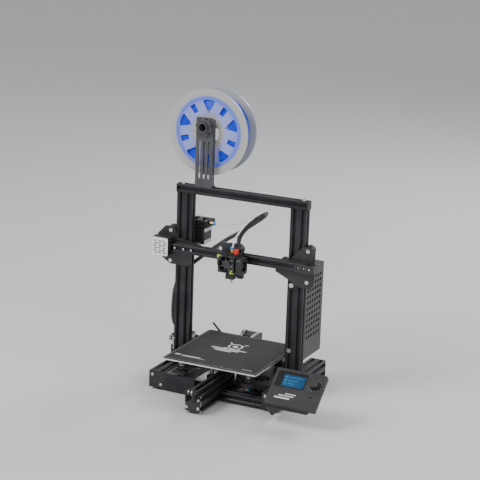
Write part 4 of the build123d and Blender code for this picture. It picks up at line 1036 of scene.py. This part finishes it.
def make_fan_tabs():
    """Two lime tabs at opposite corners of the fan's frame."""
    fan_y = FAN_CENTRE[1]
    tabs = (("fan_tab_left", ((-21.0, 333.0), (-11.5, 332.0), (-14.5, 327.5), (-20.0, 325.0))),
            ("fan_tab_right", ((11.5, 291.5), (21.0, 292.5), (16.5, 301.5), (13.0, 297.0))))
    for name, outline in tabs:
        tab = upright_prism(outline, fan_y - 2.2, fan_y - 0.6)
        add_mesh(name, *tab, "lime", "head", "black_plastic", smooth=False)


def make_head_details():
    """The heater's plug, the fan's tabs and disc, the heat sink's fin edges and the feeder gear's screw."""
    make_heater_plug()
    make_fan_tabs()
    screw = lathe([(0.01, 374.0), (2.3, 374.0), (2.3, 378.5), (3.9, 378.6), (3.9, 381.4), (3.2, 382.0),
                   (0.01, 382.0)], (-128.0, 43.0, 0), 2, 32, False)
    add_mesh("feeder_gear_screw", *screw, "screw", "feeder_gear", "gear_brass")
    sticker = lathe([(0.01, 0.0), (7.2, 0.0), (7.2, -0.15), (0.01, -0.15)], FAN_CENTRE, 1, 40, False)
    add_mesh("fan_sticker", *sticker, "dark_screw", "head_fan_rotor", "black_plastic", smooth=False)
    lowest, spacing = 298.2, 2.7
    edges = []
    for k in range(9):
        z = lowest + spacing * k
        profile = [(10.5, z), (10.9, z + 0.15), (10.9, z + 0.45), (10.5, z + 0.6)]
        edges.append(lathe(profile, (6.0, -58.0, 0), 2, 40))
    add_mesh("sink_fins_edges", *join_parts(edges), "cut", "head", "heat_metal")


# ---------------- display
DISPLAY_TILT = math.radians(40.1)
DISPLAY_ORIGIN = (224.5, -169.0, 84.5)


def slab_on_display(x0, x1, y0, y1, z0, z1):
    """A flat block on the display's face: x to the right, y up the face and z out of it, in millimetres."""
    c, s = math.cos(DISPLAY_TILT), math.sin(DISPLAY_TILT)
    ox, oy, oz = DISPLAY_ORIGIN
    corners = [(x, y, z) for z in (z0, z1) for x, y in ((x0, y0), (x1, y0), (x1, y1), (x0, y1))]
    return [at(ox + x, oy + y * c - z * s, oz + y * s + z * c) for x, y, z in corners], tube_faces(2, 4)


def make_display_details():
    """Glass, the lit panel with plain bars, a mark of three plain bars and a ring of dots round the knob."""
    glass = slab_on_display(-52.6, 16.6, -0.6, 38.6, -0.55, -0.35)
    add_mesh("screen_glass", *glass, "bezel", "frame", "screen", smooth=False)
    panel = slab_on_display(-37, 14.5, 2.0, 32.0, -0.3, -0.2)
    add_mesh("screen_panel", *panel, "lcd", "frame", "screen", smooth=False)
    bars = []
    for k in range(3):
        y = 26.0 - 8.0 * k
        bars.append(slab_on_display(-33, -28, y - 1.6, y + 1.6, -0.15, -0.08))
        bars.append(slab_on_display(-24, 8 - 9 * k, y - 0.7, y + 0.7, -0.15, -0.08))
    add_mesh("screen_bars", *join_parts(bars), "lcd_ink", "frame", "screen", smooth=False)
    low, high = 0.02, 0.14
    marks = []
    for x0, x1, y0, y1 in ((-42, -6, -30, -26), (-34, 2, -23, -20.5), (-20, 6, -17.5, -15.5)):
        marks.append(slab_on_display(x0, x1, y0, y1, low, high))
    knob_x, knob_y, reach, half = 40, 16, 15.0, 0.5
    for k in range(12):
        angle = math.radians(30.0 * k + 15)
        x, y = knob_x + reach * math.cos(angle), knob_y + reach * math.sin(angle)
        marks.append(slab_on_display(x - half, x + half, y - half, y + half, low, high))
    add_mesh("display_marks", *join_parts(marks), "print_white", "frame", "black_plastic", smooth=False)


make_materials()
make_camera()
make_cords()
make_lights()
make_floor()
dress_cad()
make_winding()
make_lead_screw()
make_belt("head_belt_toothed", "head_belt", along=0, across=1, middle=(-0.25, -24.5), half=187.25,
          centre_z=GANTRY_Z, body="gantry")
make_belt("bed_belt_toothed", "bed_belt", along=1, across=0, middle=(0.0, -36.5), half=196.5,
          centre_z=52.8, body="frame")
make_mat_marks()
make_tag()
make_bay_lid()
make_box_plugs()
make_bed_guide()
make_head_details()
make_display_details()
